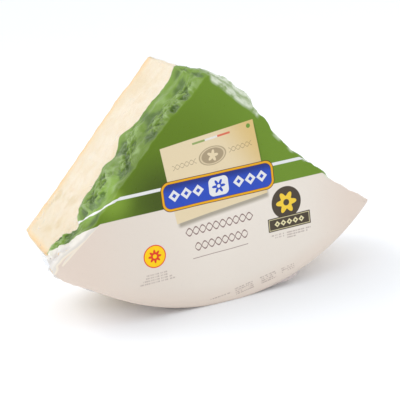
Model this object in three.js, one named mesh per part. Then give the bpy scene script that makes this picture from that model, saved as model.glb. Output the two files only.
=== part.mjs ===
// A parmesan wedge sealed in a close film bag: an eighth of a wheel, cut at half the wheel's height.
// It stands on its curved rind with the printed, flat-cut face to the front.
// Millimetres, X to the right, Y to the back, Z up. The origin lies under the middle of its box.
// The body is one closed skin: rings run round the sector outline, from the middle of the front
// face over the front edge, along the depth, over the back edge and to the middle of the back face.

import * as THREE from "three";

const { degToRad, lerp, smoothstep } = THREE.MathUtils;

// The wedge
const WHEEL_RADIUS = 211;
const WEDGE_DEPTH = 126;
const HALF_ANGLE = degToRad(46.5);
const REST_FLAT_WIDTH = 32;
const BACK_APEX_LEFT = 6.5;
const BACK_APEX_RISE = 4.6;
const RIND_TAPER_FOOT = 1.2;
const RIND_TAPER_CORNERS = 5;

// Corners and edges
const APEX_RADIUS_FRONT = 10;
const APEX_RADIUS_BACK = 3.5;
const RIND_CORNER_RADIUS = 4;
const CUT_EDGE_ROUND = 4;
const RIND_EDGE_ROUND_FRONT = 8;
const FRONT_ROUND_DEPTH_SHARE = 0.5;
const RIND_EDGE_ROUND_BACK = 14;

// Swells of the front edges: where along the cut, counted from the apex to the rind,
// half their length in the same share, and how far they stand out in millimetres
const LEFT_EDGE_SWELLS = [
  { at: 0.1, reach: 0.08, height: -2.2 },
  { at: 0.3, reach: 0.12, height: 1.2 },
  { at: 0.74, reach: 0.2, height: -2.4 },
];
const RIGHT_EDGE_SWELLS = [
  { at: 0.55, reach: 0.2, height: -8.2 },
  { at: 0.82, reach: 0.12, height: -5.4 },
  { at: 0.25, reach: 0.04, height: 2 },
  { at: 0.34, reach: 0.03, height: 1.6 },
];

// Bulges of the right cut a little behind its front edge, where the film stands off the cheese
const RIGHT_BULGES = [
  { at: 0.06, reach: 0.05, height: 2.6 },
  { at: 0.15, reach: 0.08, height: 9.6 },
  { at: 0.245, reach: 0.045, height: 7.4 },
  { at: 0.4, reach: 0.03, height: 1.8 },
  { at: 0.57, reach: 0.035, height: 1.8 },
];
const RIGHT_BULGE_DEPTH = 28;
const RIGHT_BULGE_REACH = 24;
const SWELL_FADE_AT_BACK = 0.6;

// Relief: torn paste on both cuts, crumpled film along the front edges, slack on the faces
const CRAG_HEIGHT = 0.9;
const CRAG_LENGTH = 38;
const CRUMPLE_HEIGHT = 1.3;
const CRUMPLE_LENGTH = 24;
const CRUMPLE_DEPTH = 62;
const FACE_SLACK = 0.5;
const FACE_SLACK_LENGTH = 90;
const WAVES = 5;
const WAVE_TURN = 2.4;
const WAVE_TIGHTENING = 1.27;

// The bag's corner, gathered where the front face, the left cut and the rind meet
const GATHER_HEIGHT = 6;
const GATHER_REACH = 24;

// Columns round the outline and rings along the skin
const APEX_COLUMNS = 6;
const CUT_COLUMNS = 30;
const CORNER_COLUMNS = 4;
const RIND_COLUMNS = 34;
const SIDE_RINGS = 15;
const EDGE_RINGS = 3;
const FACE_RINGS = [0.25, 0.5, 0.75];
const FACE_CENTRE_HEIGHT = 95;

const APEX = new THREE.Vector2(0, WHEEL_RADIUS);

/** Height at one place of a smooth uneven surface: slanting waves, each shorter than the last. */
function ripple(across, along, length) {
  let height = 0;
  let waveNumber = (2 * Math.PI) / length;
  for (let wave = 0; wave < WAVES; wave += 1) {
    const turn = wave * WAVE_TURN;
    height += Math.sin(waveNumber * (across * Math.cos(turn) + along * Math.sin(turn)) + turn * turn);
    waveNumber *= WAVE_TIGHTENING;
  }
  return height / Math.sqrt(WAVES);
}

/** A bell of height one at the middle, fading out beyond its reach. */
function bell(distance, reach) {
  return Math.exp(-((distance / reach) ** 2));
}

/** The sum of a list of swells at one share of the way along a cut. */
function swell(swells, share) {
  return swells.reduce((sum, each) => sum + each.height * bell(share - each.at, each.reach), 0);
}

/** A point on a rounded corner, with the direction in which the outline faces there. */
function onCorner(centre, radius, angle) {
  const normal = new THREE.Vector2(Math.cos(angle), Math.sin(angle));
  return { point: centre.clone().addScaledVector(normal, radius), normal };
}

/** Half the angle that the rind's arc spans between the ends of its two rounded corners. */
function rindHalfAngle(rindRadius) {
  return HALF_ANGLE - Math.asin(RIND_CORNER_RADIUS / (rindRadius - RIND_CORNER_RADIUS));
}

/** The centre of a rounded rind corner: side is -1 on the left and 1 on the right. */
function rindCornerCentre(rindRadius, side) {
  const angle = rindHalfAngle(rindRadius);
  const reach = rindRadius - RIND_CORNER_RADIUS;
  return new THREE.Vector2(side * reach * Math.sin(angle), WHEEL_RADIUS - reach * Math.cos(angle));
}

/** A point on a straight cut at one share of the way between the apex rounding and the rind corner. */
function onCut(side, share, apexRadius, rindRadius) {
  const start = apexRadius / Math.tan(HALF_ANGLE);
  const end = Math.sqrt((rindRadius - RIND_CORNER_RADIUS) ** 2 - RIND_CORNER_RADIUS ** 2);
  const distance = lerp(start, end, share);
  const direction = new THREE.Vector2(side * Math.sin(HALF_ANGLE), -Math.cos(HALF_ANGLE));
  return {
    point: APEX.clone().addScaledVector(direction, distance),
    normal: new THREE.Vector2(side * Math.cos(HALF_ANGLE), Math.sin(HALF_ANGLE)),
  };
}

/** The outline's stretches in order, counterclockwise from the front: each places a share of itself. */
const STRETCHES = [
  {
    columns: APEX_COLUMNS,
    place(share, { apexRadius }) {
      const centre = new THREE.Vector2(0, WHEEL_RADIUS - apexRadius / Math.sin(HALF_ANGLE));
      return onCorner(centre, apexRadius, lerp(HALF_ANGLE, Math.PI - HALF_ANGLE, share));
    },
  },
  {
    columns: CUT_COLUMNS,
    place: (share, { apexRadius, rindRadius }) => onCut(-1, share, apexRadius, rindRadius),
  },
  {
    columns: CORNER_COLUMNS,
    place(share, { rindRadius }) {
      const to = 1.5 * Math.PI - rindHalfAngle(rindRadius);
      const angle = lerp(Math.PI - HALF_ANGLE, to, share);
      return onCorner(rindCornerCentre(rindRadius, -1), RIND_CORNER_RADIUS, angle);
    },
  },
  {
    columns: RIND_COLUMNS,
    place(share, { rindRadius, rindBow }) {
      const half = rindHalfAngle(rindRadius);
      const radius = rindRadius + rindBow * (1 - (2 * share - 1) ** 2);
      return onCorner(APEX, radius, 1.5 * Math.PI + lerp(-half, half, share));
    },
  },
  {
    columns: CORNER_COLUMNS,
    place(share, { rindRadius }) {
      const from = 1.5 * Math.PI + rindHalfAngle(rindRadius);
      const angle = lerp(from, 2 * Math.PI + HALF_ANGLE, share);
      return onCorner(rindCornerCentre(rindRadius, 1), RIND_CORNER_RADIUS, angle);
    },
  },
  {
    columns: CUT_COLUMNS,
    place: (share, { apexRadius, rindRadius }) => onCut(1, 1 - share, apexRadius, rindRadius),
  },
];

/** The outline at one share of the depth: a point and an outward direction for every column. */
function outlineAt(depthShare) {
  const sizes = {
    apexRadius: lerp(APEX_RADIUS_FRONT, APEX_RADIUS_BACK, depthShare),
    rindRadius: WHEEL_RADIUS - RIND_TAPER_CORNERS * depthShare ** 2,
    rindBow: (RIND_TAPER_CORNERS - RIND_TAPER_FOOT) * depthShare ** 2,
  };
  const shift = new THREE.Vector2(-BACK_APEX_LEFT, BACK_APEX_RISE).multiplyScalar(depthShare);
  return STRETCHES.flatMap(({ columns, place }) =>
    Array.from({ length: columns }, (unused, column) => {
      const placed = place(column / columns, sizes);
      const apexPull = 1 - placed.point.distanceTo(APEX) / WHEEL_RADIUS;
      placed.point.addScaledVector(shift, Math.max(apexPull, 0));
      return placed;
    }),
  );
}

/** How much of the outline's facing at a point is rind: 1 on the arc, 0 on the cuts. */
function rindShare({ point, normal }) {
  const outward = point.clone().sub(APEX).normalize();
  return smoothstep(outward.dot(normal), 0.3, 1) * smoothstep(point.distanceTo(APEX), 150, 200);
}

/** How far the skin stands out from the plain outline at one place and depth. */
function relief(placed, depth) {
  const { point, normal } = placed;
  const fromApex = point.distanceTo(APEX);
  const share = fromApex / WHEEL_RADIUS;
  const cut = 1 - rindShare(placed);
  const onRight = smoothstep(normal.x, -0.4, 0.6);
  const backFade = 1 - SWELL_FADE_AT_BACK * (depth / WEDGE_DEPTH);
  const edges = lerp(swell(LEFT_EDGE_SWELLS, share), swell(RIGHT_EDGE_SWELLS, share), onRight);
  const bulge = swell(RIGHT_BULGES, share) * onRight * bell(depth - RIGHT_BULGE_DEPTH, RIGHT_BULGE_REACH);
  const crumple = CRUMPLE_HEIGHT * ripple(fromApex, depth, CRUMPLE_LENGTH);
  const film = 1 - smoothstep(depth, 0.5 * CRUMPLE_DEPTH, CRUMPLE_DEPTH);
  const crags = CRAG_HEIGHT * ripple(fromApex + WHEEL_RADIUS * onRight, depth, CRAG_LENGTH);
  return cut * (edges * backFade + bulge + crags + film * crumple);
}

/** The bag's gathered corner: how far the film stands out round the lower left front corner. */
function gather({ point }, depth) {
  const corner = rindCornerCentre(WHEEL_RADIUS, -1);
  const away = Math.hypot(point.distanceTo(corner), depth);
  return GATHER_HEIGHT * bell(away, GATHER_REACH);
}

/** One ring over an edge or along a side. The lean runs from 1 on the face to 0 on the side. */
function ring(depthShare, front, lean) {
  const turn = (lean * Math.PI) / 2;
  return outlineAt(depthShare).map((placed) => {
    const rind = rindShare(placed);
    const round = lerp(CUT_EDGE_ROUND, front ? RIND_EDGE_ROUND_FRONT : RIND_EDGE_ROUND_BACK, rind);
    const inset = Math.min(round, RIND_CORNER_RADIUS + (round - RIND_CORNER_RADIUS) * rind);
    const reach = inset * (1 - Math.cos(turn));
    const depthIn = round * (front ? FRONT_ROUND_DEPTH_SHARE : 1) * (1 - Math.sin(turn));
    const depth = sideDepth(depthShare, front, depthIn);
    const out = (relief(placed, depth) + gather(placed, depth)) * Math.cos(turn / 2) - reach;
    const place = placed.point.addScaledVector(placed.normal, out);
    return new THREE.Vector3(place.x, depth, place.y);
  });
}

/** The depth of a ring point: within an edge's rounding, or at its share of the depth. */
function sideDepth(depthShare, front, depthIn) {
  if (depthShare === 0) {
    return depthIn;
  }
  return front ? depthShare * WEDGE_DEPTH : WEDGE_DEPTH - depthIn;
}

/** The slack of a face, fading to nothing at its outline and standing out towards its side. */
function faceRing(edge, centre, inward, outwardY) {
  return edge.map((point) => {
    const place = point.clone().lerp(centre, inward);
    const slack = FACE_SLACK * ripple(place.x, place.z, FACE_SLACK_LENGTH);
    place.y += outwardY * slack * Math.sin(inward * Math.PI * 0.5);
    return place;
  });
}

/** All rings from the front face's middle to the back face's middle. */
function skinRings() {
  const edgeLeans = Array.from({ length: EDGE_RINGS }, (unused, step) => 1 - step / EDGE_RINGS);
  const front = edgeLeans.map((lean) => ring(0, true, lean));
  const back = edgeLeans.map((lean) => ring(1, false, lean)).reverse();
  const firstSide = RIND_EDGE_ROUND_FRONT / WEDGE_DEPTH;
  const lastSide = 1 - RIND_EDGE_ROUND_BACK / WEDGE_DEPTH;
  const sides = Array.from({ length: SIDE_RINGS }, (unused, step) =>
    ring(lerp(firstSide, lastSide, step / (SIDE_RINGS - 1)), true, 0),
  );
  const frontCentre = new THREE.Vector3(0, 0, FACE_CENTRE_HEIGHT);
  const backCentre = new THREE.Vector3(0, WEDGE_DEPTH, FACE_CENTRE_HEIGHT);
  const frontFace = FACE_RINGS.map((inward) => faceRing(front[0], frontCentre, inward, -1)).reverse();
  const backFace = FACE_RINGS.map((inward) => faceRing(back.at(-1), backCentre, inward, 1));
  return { frontCentre, backCentre, rings: [...frontFace, ...front, ...sides, ...back, ...backFace] };
}

/** Flattens the rind's lowest stretch, so that the wedge stands on a small flat. */
function flattenFoot(points) {
  const flat = WHEEL_RADIUS - Math.sqrt(WHEEL_RADIUS ** 2 - (REST_FLAT_WIDTH / 2) ** 2) + RIND_TAPER_FOOT / 2;
  points.forEach((point) => {
    point.z = Math.max(point.z, flat);
  });
}

/** Moves the points so that the origin lies under the middle of their box. */
function centreOverOrigin(points) {
  const box = new THREE.Box3().setFromPoints(points);
  const middle = box.getCenter(new THREE.Vector3());
  const offset = new THREE.Vector3(middle.x, middle.y, box.min.z);
  points.forEach((point) => point.sub(offset));
}

/** Joins the rings and the two face middles into one closed geometry. */
function wedgeGeometry() {
  const { frontCentre, backCentre, rings } = skinRings();
  const points = [frontCentre, ...rings.flat(), backCentre];
  flattenFoot(points);
  centreOverOrigin(points);
  const columns = rings[0].length;
  const at = (ringIndex, column) => 1 + ringIndex * columns + (column % columns);
  const faces = [];
  for (let column = 0; column < columns; column += 1) {
    faces.push(0, at(0, column), at(0, column + 1));
    for (let row = 0; row + 1 < rings.length; row += 1) {
      faces.push(at(row, column), at(row + 1, column + 1), at(row, column + 1));
      faces.push(at(row, column), at(row + 1, column), at(row + 1, column + 1));
    }
    faces.push(points.length - 1, at(rings.length - 1, column + 1), at(rings.length - 1, column));
  }
  const geometry = new THREE.BufferGeometry().setFromPoints(points);
  geometry.setIndex(faces);
  geometry.computeVertexNormals();
  return geometry;
}

const printedFilm = new THREE.MeshStandardMaterial({ color: 0x6a8a36, roughness: 0.3, metalness: 0 });

const wedge = new THREE.Mesh(wedgeGeometry(), printedFilm);
wedge.name = "wedge_in_film";

const part = new THREE.Group();
part.add(wedge);

export default part;
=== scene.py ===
"""A parmesan wedge in a close film bag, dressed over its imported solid.

Lengths in the classes are millimetres in the wedge's own place: X to the right, Y to the back
from the flat-cut front face, Z up from the foot of the wheel's round rind. Meshes come out in
metres, moved so that the origin lies under the middle of the wedge's box, as in the frame.
"""

import logging
import math
from collections.abc import Sequence
from dataclasses import dataclass, field
from enum import Enum
from typing import ClassVar

import bpy
import numpy as np
from mathutils import Matrix, Vector


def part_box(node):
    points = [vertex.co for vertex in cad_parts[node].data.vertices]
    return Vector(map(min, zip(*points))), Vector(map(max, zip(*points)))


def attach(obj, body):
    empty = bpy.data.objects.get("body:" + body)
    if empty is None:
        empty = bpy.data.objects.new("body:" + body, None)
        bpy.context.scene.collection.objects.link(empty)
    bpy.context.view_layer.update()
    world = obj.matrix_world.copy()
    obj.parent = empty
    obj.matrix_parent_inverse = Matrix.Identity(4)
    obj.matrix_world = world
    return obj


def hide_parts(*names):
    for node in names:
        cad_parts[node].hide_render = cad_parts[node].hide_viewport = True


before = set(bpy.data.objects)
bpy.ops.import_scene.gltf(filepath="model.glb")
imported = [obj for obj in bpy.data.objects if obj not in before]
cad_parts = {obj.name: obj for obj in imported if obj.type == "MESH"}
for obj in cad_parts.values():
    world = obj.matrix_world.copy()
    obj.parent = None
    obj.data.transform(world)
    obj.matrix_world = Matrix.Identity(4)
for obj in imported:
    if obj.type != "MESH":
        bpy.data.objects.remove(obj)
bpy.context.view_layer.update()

LOG = logging.getLogger("wedge")
METRE = 0.001
ROOT = "root"
NODE = "wedge_in_film"

# A place is a point of a plane, and a span is where a rise or a run starts and ends.
Socket = bpy.types.NodeSocket
Colour = tuple[float, float, float, float]
Place = tuple[float, float]
Span = tuple[float, float]
Value = Socket | float | Sequence[float]


class Slot(Enum):
    """The record's material slots."""

    PRINTED_FILM = "printed_film"
    CLEAR_FILM = "clear_film"
    CHEESE = "cheese"


class Side(Enum):
    """The two cuts of the wedge, as the sign of their X."""

    LEFT = -1
    RIGHT = 1


def paint(red: int, green: int, blue: int) -> Colour:
    """Turns a screen colour into linear light.

    Each channel's share of 255 is raised by the screen's curve: a straight piece near black,
    then a power of 2.4.

    Args:
        red: Red from 0 to 255.
        green: Green from 0 to 255.
        blue: Blue from 0 to 255.

    Returns:
        Red, green, blue and an alpha of 1, in linear light.
    """
    shares = np.array([red, green, blue]) / 255
    linear = np.where(shares <= 0.04045, shares / 12.92, ((shares + 0.055) / 1.055) ** 2.4)
    return (*(float(value) for value in linear), 1.0)


def lerp(start: np.ndarray | float, end: np.ndarray | float, share: np.ndarray | float) -> np.ndarray:
    """The value at a share of the way from start to end."""
    return start + (end - start) * share


def smoothstep(value: np.ndarray, low: float, high: float) -> np.ndarray:
    """Rises smoothly from 0 at low to 1 at high, as 3t squared less 2t cubed."""
    share = np.clip((value - low) / (high - low), 0, 1)
    return share * share * (3 - 2 * share)


def bell(distance: np.ndarray, reach: float) -> np.ndarray:
    """A bell of height one: e to the power of minus the squared share of the reach."""
    return np.exp(-((distance / reach) ** 2))


@dataclass(frozen=True)
class Swell:
    """One swell along a cut: its share of the way from apex to rind, half length and height."""

    at: float
    reach: float
    height: float


def swell_sum(swells: Sequence[Swell], share: np.ndarray) -> np.ndarray:
    """The summed bells of a list of swells at each share of the way along a cut."""
    return sum(each.height * bell(share - each.at, each.reach) for each in swells)


@dataclass(frozen=True)
class Waves:
    """Slanting sine waves, each turned and shorter than the last."""

    count: int = 5
    turn: float = 2.4
    tightening: float = 1.27

    def height(self, across: np.ndarray, along: np.ndarray, length: float) -> np.ndarray:
        """Sums the waves.

        Args:
            across: Place in the first direction.
            along: Place in the second direction.
            length: Length of the longest wave.

        Returns:
            The sum of the sines over the square root of their count.
        """
        total = np.zeros(np.broadcast(across, along).shape)
        wave_number = 2 * math.pi / length
        for wave in range(self.count):
            turn = wave * self.turn
            slant = across * math.cos(turn) + along * math.sin(turn)
            total = total + np.sin(wave_number * slant + turn * turn)
            wave_number *= self.tightening
        return total / math.sqrt(self.count)


@dataclass(frozen=True)
class Lattice:
    """Smooth seeded noise: random values on a square lattice, blended between the knots."""

    seed: int
    cells: int = 96

    def height(self, across: np.ndarray, along: np.ndarray, length: float) -> np.ndarray:
        """Reads the noise.

        Each place takes the four knots round it, weighed by the smooth share of the way
        between them in both directions.

        Args:
            across: Place in the first direction.
            along: Place in the second direction.
            length: Distance between two knots.

        Returns:
            Heights from -1 to 1.
        """
        knots = np.random.default_rng(self.seed).uniform(-1, 1, (self.cells, self.cells))
        column, row = across / length, along / length
        left, low = np.floor(column).astype(int), np.floor(row).astype(int)
        over, up = smoothstep(column - left, 0, 1), smoothstep(row - low, 0, 1)

        def knot(right: int, above: int) -> np.ndarray:
            """The knots a step right and above, wrapped round the lattice."""
            return knots[(left + right) % self.cells, (low + above) % self.cells]

        return lerp(lerp(knot(0, 0), knot(1, 0), over), lerp(knot(0, 1), knot(1, 1), over), up)


@dataclass(frozen=True)
class Creases:
    """Crumpled film: flat facets that meet in sharp creases."""

    seed: int
    length: float
    waves: int = 5
    turn: float = 1.05
    first_weight: float = 0.6
    shrink: float = 0.74
    fading: float = 0.8
    bend_length: float = 1.3
    warp: float = 0.55
    slant: float = 0.35

    def height(self, across: np.ndarray, along: np.ndarray) -> np.ndarray:
        """Sums the zigzag waves.

        The plane is bent by slow noise. Each zigzag runs another way over it and is shorter and
        lower than the last: twice the distance from the nearest whole wave, less a half.

        Args:
            across: Film place in the first direction.
            along: Film place in the second direction.

        Returns:
            Heights of about -1 to 1.
        """
        slow = Lattice(self.seed).height(across, along, self.bend_length * self.length)
        bend = slow * self.warp * self.length
        total = np.zeros(np.broadcast(across, along).shape)
        length, weight, turn = self.length, self.first_weight, self.slant
        for _ in range(self.waves):
            way = ((across + bend) * math.cos(turn) + (along - bend) * math.sin(turn)) / length
            total = total + weight * (2 * np.abs(way - np.round(way)) - 0.5) * 2
            length *= self.shrink
            weight *= self.fading
            turn += self.turn
        return total


@dataclass(frozen=True)
class Outline:
    """Rings of the sector outline: one row for each depth, one column for each place round it."""

    point: np.ndarray
    normal: np.ndarray


@dataclass(frozen=True)
class Skin:
    """A closed skin: rings from the front face's middle to the back's, with what the finish reads.

    The rind's share is one row for all rings, because it only changes round the outline.
    """

    rings: np.ndarray
    front_pole: np.ndarray
    back_pole: np.ndarray
    film_place: np.ndarray
    printed: np.ndarray
    gathered: np.ndarray
    folded: np.ndarray
    fold: np.ndarray
    lifted: np.ndarray
    rind: np.ndarray


@dataclass(frozen=True)
class WedgeForm:
    """The wedge: an eighth of a wheel cut at half its height, standing on its round rind.

    The outline runs counterclockwise from the apex: apex rounding, left cut, left rind corner,
    rind, right rind corner, right cut. Its main sizes are those of the wedge's solid. The
    crags and the crumple are lower here, because the fine folds lie over them.
    """

    wheel_radius: float = 211
    depth: float = 126
    half_angle: float = math.radians(46.5)
    rest_flat_width: float = 32
    back_apex_left: float = 6.5
    back_apex_rise: float = 4.6
    rind_taper_foot: float = 1.2
    rind_taper_corners: float = 5
    apex_radius_front: float = 10
    apex_radius_back: float = 3.5
    rind_corner_radius: float = 4
    cut_edge_round: float = 4
    rind_edge_round_front: float = 8
    front_round_depth_share: float = 0.5
    rind_edge_round_back: float = 14
    left_edge_swells: tuple[Swell, ...] = (
        Swell(0.1, 0.08, -2.2),
        Swell(0.3, 0.12, 1.2),
        Swell(0.74, 0.2, -2.4),
    )
    right_edge_swells: tuple[Swell, ...] = (
        Swell(0.55, 0.2, -8.2),
        Swell(0.82, 0.12, -5.4),
        Swell(0.25, 0.04, 2),
        Swell(0.34, 0.03, 1.6),
        Swell(0.46, 0.06, -1.2),
    )
    right_bulges: tuple[Swell, ...] = (
        Swell(0.06, 0.05, 2.6),
        Swell(0.15, 0.08, 9.6),
        Swell(0.245, 0.045, 7.4),
        Swell(0.43, 0.03, 3.4),
        Swell(0.52, 0.025, 2.8),
        Swell(0.6, 0.02, 2.2),
        Swell(0.74, 0.035, 2.4),
    )
    right_bulge_depth: float = 28
    right_bulge_reach: float = 24
    bulge_start: float = 16
    lifted_at: float = 3
    free_at: float = 5.5
    lifted_end: float = 42
    rim_at: float = 0.8
    rim_depth: float = 9
    swell_fade_at_back: float = 0.6
    crag_height: float = 0.35
    crag_length: float = 38
    crumple_height: float = 0.4
    crumple_length: float = 24
    crumple_depth: float = 62
    face_slack: float = 0.5
    face_slack_length: float = 90
    gather_height: float = 6
    gather_reach: float = 24
    gather_start: float = 7
    face_centre_height: float = 95
    apex_columns: int = 12
    cut_columns: int = 230
    corner_columns: int = 8
    rind_columns: int = 100
    side_rings: int = 100
    ring_crowding: float = 1.25
    edge_rings: int = 7
    face_rings: int = 14
    evening: int = 10
    evening_reach: float = 0.12
    corner_hold: float = 0.75
    rind_reach: Span = (150, 200)
    rind_facing: Span = (0.3, 1)
    right_facing: Span = (-0.4, 0.6)
    waves: Waves = field(default_factory=Waves)

    @property
    def apex(self) -> np.ndarray:
        """The wheel's axis in the plane of the outline."""
        return np.array([0.0, self.wheel_radius])

    @property
    def foot(self) -> float:
        """Height of the flat on which the wedge rests, over the foot of the front circle."""
        drop = self.wheel_radius - math.sqrt(self.wheel_radius**2 - (self.rest_flat_width / 2) ** 2)
        return drop + self.rind_taper_foot / 2

    def rind_half(self, rind_radius: np.ndarray) -> np.ndarray:
        """Half the angle of the rind's arc between the ends of its rounded corners."""
        corner = self.rind_corner_radius
        return self.half_angle - np.arcsin(corner / (rind_radius - corner))

    def corner_centre(self, rind_radius: np.ndarray, side: Side) -> np.ndarray:
        """Finds a rounded rind corner: at the arc's end angle and a corner radius inside.

        Args:
            rind_radius: The rind's radii.
            side: The cut that the corner belongs to.

        Returns:
            Its centres.
        """
        angle = self.rind_half(rind_radius)
        reach = rind_radius - self.rind_corner_radius
        return np.stack(
            [side.value * reach * np.sin(angle), self.wheel_radius - reach * np.cos(angle)], axis=-1
        )

    def _arc(
        self, centre: np.ndarray, radius: np.ndarray, start: np.ndarray, end: np.ndarray, count: int
    ) -> tuple[np.ndarray, np.ndarray]:
        """Places columns on an arc: centre plus radius times the direction of each angle.

        Args:
            centre: The arc's centres.
            radius: Its radii.
            start: Its first angles.
            end: Its last angles, which the next stretch takes up.
            count: Number of columns.

        Returns:
            Points and normals, one row for each ring.
        """
        angle = lerp(start, end, np.arange(count) / count)
        normal = np.stack([np.cos(angle), np.sin(angle)], axis=-1)
        return centre + normal * np.asarray(radius)[..., None], normal

    def _cut(
        self, side: Side, shares: np.ndarray, apex_radius: np.ndarray, rind_radius: np.ndarray
    ) -> tuple[np.ndarray, np.ndarray]:
        """Places columns on a straight cut, from the apex rounding's end to the rind corner's.

        Args:
            side: Which cut it is.
            shares: Shares of the way from apex to rind.
            apex_radius: The apex rounding's radii.
            rind_radius: The rind's radii.

        Returns:
            Points and normals, one row for each ring.
        """
        corner = self.rind_corner_radius
        start = apex_radius / math.tan(self.half_angle)
        end = np.sqrt((rind_radius - corner) ** 2 - corner**2)
        distance = lerp(start, end, shares)
        sine, cosine = math.sin(self.half_angle), math.cos(self.half_angle)
        direction = np.array([side.value * sine, -cosine])
        normal = np.broadcast_to([side.value * cosine, sine], (*distance.shape, 2))
        return self.apex + direction * distance[..., None], normal

    def outline(self, depth_share: np.ndarray) -> Outline:
        """Works out the outline at many depths.

        The apex rounding narrows and the rind tapers with the depth, the rind bows out in its
        middle, and the apex is drawn left and up by its share of the back apex's shift.

        Args:
            depth_share: Shares of the depth, one for each ring.

        Returns:
            The outline, one row for each ring.
        """
        share = depth_share[:, None]
        apex_radius = lerp(self.apex_radius_front, self.apex_radius_back, share)
        rind_radius = self.rind_radius(share, 1)
        half = self.rind_half(rind_radius)
        low, full = 1.5 * math.pi, 2 * math.pi
        above = np.stack(
            [0 * apex_radius, self.wheel_radius - apex_radius / math.sin(self.half_angle)], axis=-1
        )
        cut_shares = np.arange(self.cut_columns) / self.cut_columns
        rind_shares = np.arange(self.rind_columns) / self.rind_columns
        bowed = self.rind_radius(share, 2 * rind_shares - 1)
        corner = self.rind_corner_radius
        stretches = [
            self._arc(above, apex_radius, self.half_angle, math.pi - self.half_angle, self.apex_columns),
            self._cut(Side.LEFT, cut_shares, apex_radius, rind_radius),
            self._arc(
                self.corner_centre(rind_radius, Side.LEFT),
                corner,
                math.pi - self.half_angle,
                low - half,
                self.corner_columns,
            ),
            self._arc(self.apex, bowed, low - half, low + half, self.rind_columns),
            self._arc(
                self.corner_centre(rind_radius, Side.RIGHT),
                corner,
                low + half,
                full + self.half_angle,
                self.corner_columns,
            ),
            self._cut(Side.RIGHT, 1 - cut_shares, apex_radius, rind_radius),
        ]
        rows = len(depth_share)
        point = np.concatenate([np.broadcast_to(p, (rows, *p.shape[-2:])) for p, _ in stretches], axis=1)
        normal = np.concatenate([np.broadcast_to(n, (rows, *n.shape[-2:])) for _, n in stretches], axis=1)
        pull = np.clip(1 - self.from_apex(point) / self.wheel_radius, 0, None)
        shift = np.array([-self.back_apex_left, self.back_apex_rise])
        return Outline(point + shift * (share * pull)[..., None], normal)

    def from_apex(self, point: np.ndarray) -> np.ndarray:
        """Distances of outline points from the wheel's axis."""
        return np.linalg.norm(point - self.apex, axis=-1)

    def radial(self, outline: Outline) -> tuple[np.ndarray, np.ndarray]:
        """Works out where outline points face, seen from the wheel's axis.

        Args:
            outline: Outline rings.

        Returns:
            The direction away from the axis, and how far the rind's end faces that way.
        """
        away = self.from_apex(outline.point)
        outward = (outline.point - self.apex) / np.maximum(away, 1)[..., None]
        facing = np.sum(outward * outline.normal, axis=-1)
        return outward, np.clip(facing, 0, 1) * smoothstep(away, *self.rind_reach)

    def rind_share(self, outline: Outline) -> np.ndarray:
        """How much of the outline's facing is rind: 1 on the arc, 0 on the cuts."""
        return smoothstep(self.radial(outline)[1], *self.rind_facing)

    def rind_radius(self, share: np.ndarray, turn_share: np.ndarray) -> np.ndarray:
        """The rind's radius at a share of the depth and of the half angle.

        It tapers with the squared share of the depth, less so in the middle, by one less the
        squared share of the angle.

        Args:
            share: Shares of the depth.
            turn_share: Shares of the half angle, from -1 at the left to 1 at the right.

        Returns:
            Radii in millimetres.
        """
        bow = (self.rind_taper_corners - self.rind_taper_foot) * (1 - turn_share**2)
        return self.wheel_radius + (bow - self.rind_taper_corners) * share**2

    def on_right(self, outline: Outline) -> np.ndarray:
        """How much of the outline's facing is to the right."""
        return smoothstep(outline.normal[..., 0], *self.right_facing)

    def gathered(self, outline: Outline, depth: np.ndarray) -> np.ndarray:
        """How much the bag is gathered: a bell round the lower left front corner.

        Args:
            outline: Outline rings.
            depth: Depth behind the front face.

        Returns:
            Shares from 0, smooth, to 1, gathered.
        """
        corner = self.corner_centre(np.array(self.wheel_radius), Side.LEFT)
        away = np.hypot(np.linalg.norm(outline.point - corner, axis=-1), depth)
        return bell(away, self.gather_reach)

    def torn_paste(self, outline: Outline, depth: np.ndarray) -> np.ndarray:
        """How far the cuts' paste stands out: edge swells that fade to the back, and crags.

        Args:
            outline: Outline rings.
            depth: Depth behind the front face.

        Returns:
            Millimetres outwards.
        """
        away = self.from_apex(outline.point)
        share = away / self.wheel_radius
        right = self.on_right(outline)
        left_swells = swell_sum(self.left_edge_swells, share)
        swells = lerp(left_swells, swell_sum(self.right_edge_swells, share), right)
        fade = 1 - self.swell_fade_at_back * depth / self.depth
        along = away + self.wheel_radius * right
        crags = self.crag_height * self.waves.height(along, depth, self.crag_length)
        return (1 - self.rind_share(outline)) * (swells * fade + crags)

    def bulge_crest(self, outline: Outline) -> np.ndarray:
        """How far the film of the right cut bulges at most: swells along the cut."""
        along = swell_sum(self.right_bulges, self.from_apex(outline.point) / self.wheel_radius)
        return along * self.on_right(outline)

    def bulge(self, outline: Outline, depth: np.ndarray) -> np.ndarray:
        """How far the film of the right cut bulges at a depth, rising behind the front edge."""
        behind = bell(depth - self.right_bulge_depth, self.right_bulge_reach)
        return self.bulge_crest(outline) * behind * smoothstep(depth, 0, self.bulge_start)

    def lifted(self, outline: Outline, depth: np.ndarray) -> np.ndarray:
        """How far the film has come off the paste: 1 on a bulge and on the front edge beside it.

        Args:
            outline: Outline rings.
            depth: Depth behind the front face.

        Returns:
            Shares from 0, close, to 1, lifted.
        """
        off = smoothstep(self.bulge(outline, depth), self.rim_at, self.free_at)
        off = off * smoothstep(depth, self.lifted_end, self.bulge_start)
        rim = smoothstep(self.bulge_crest(outline), self.rim_at, self.lifted_at)
        return np.maximum(off, rim * smoothstep(depth, self.rim_depth, 0))

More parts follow.
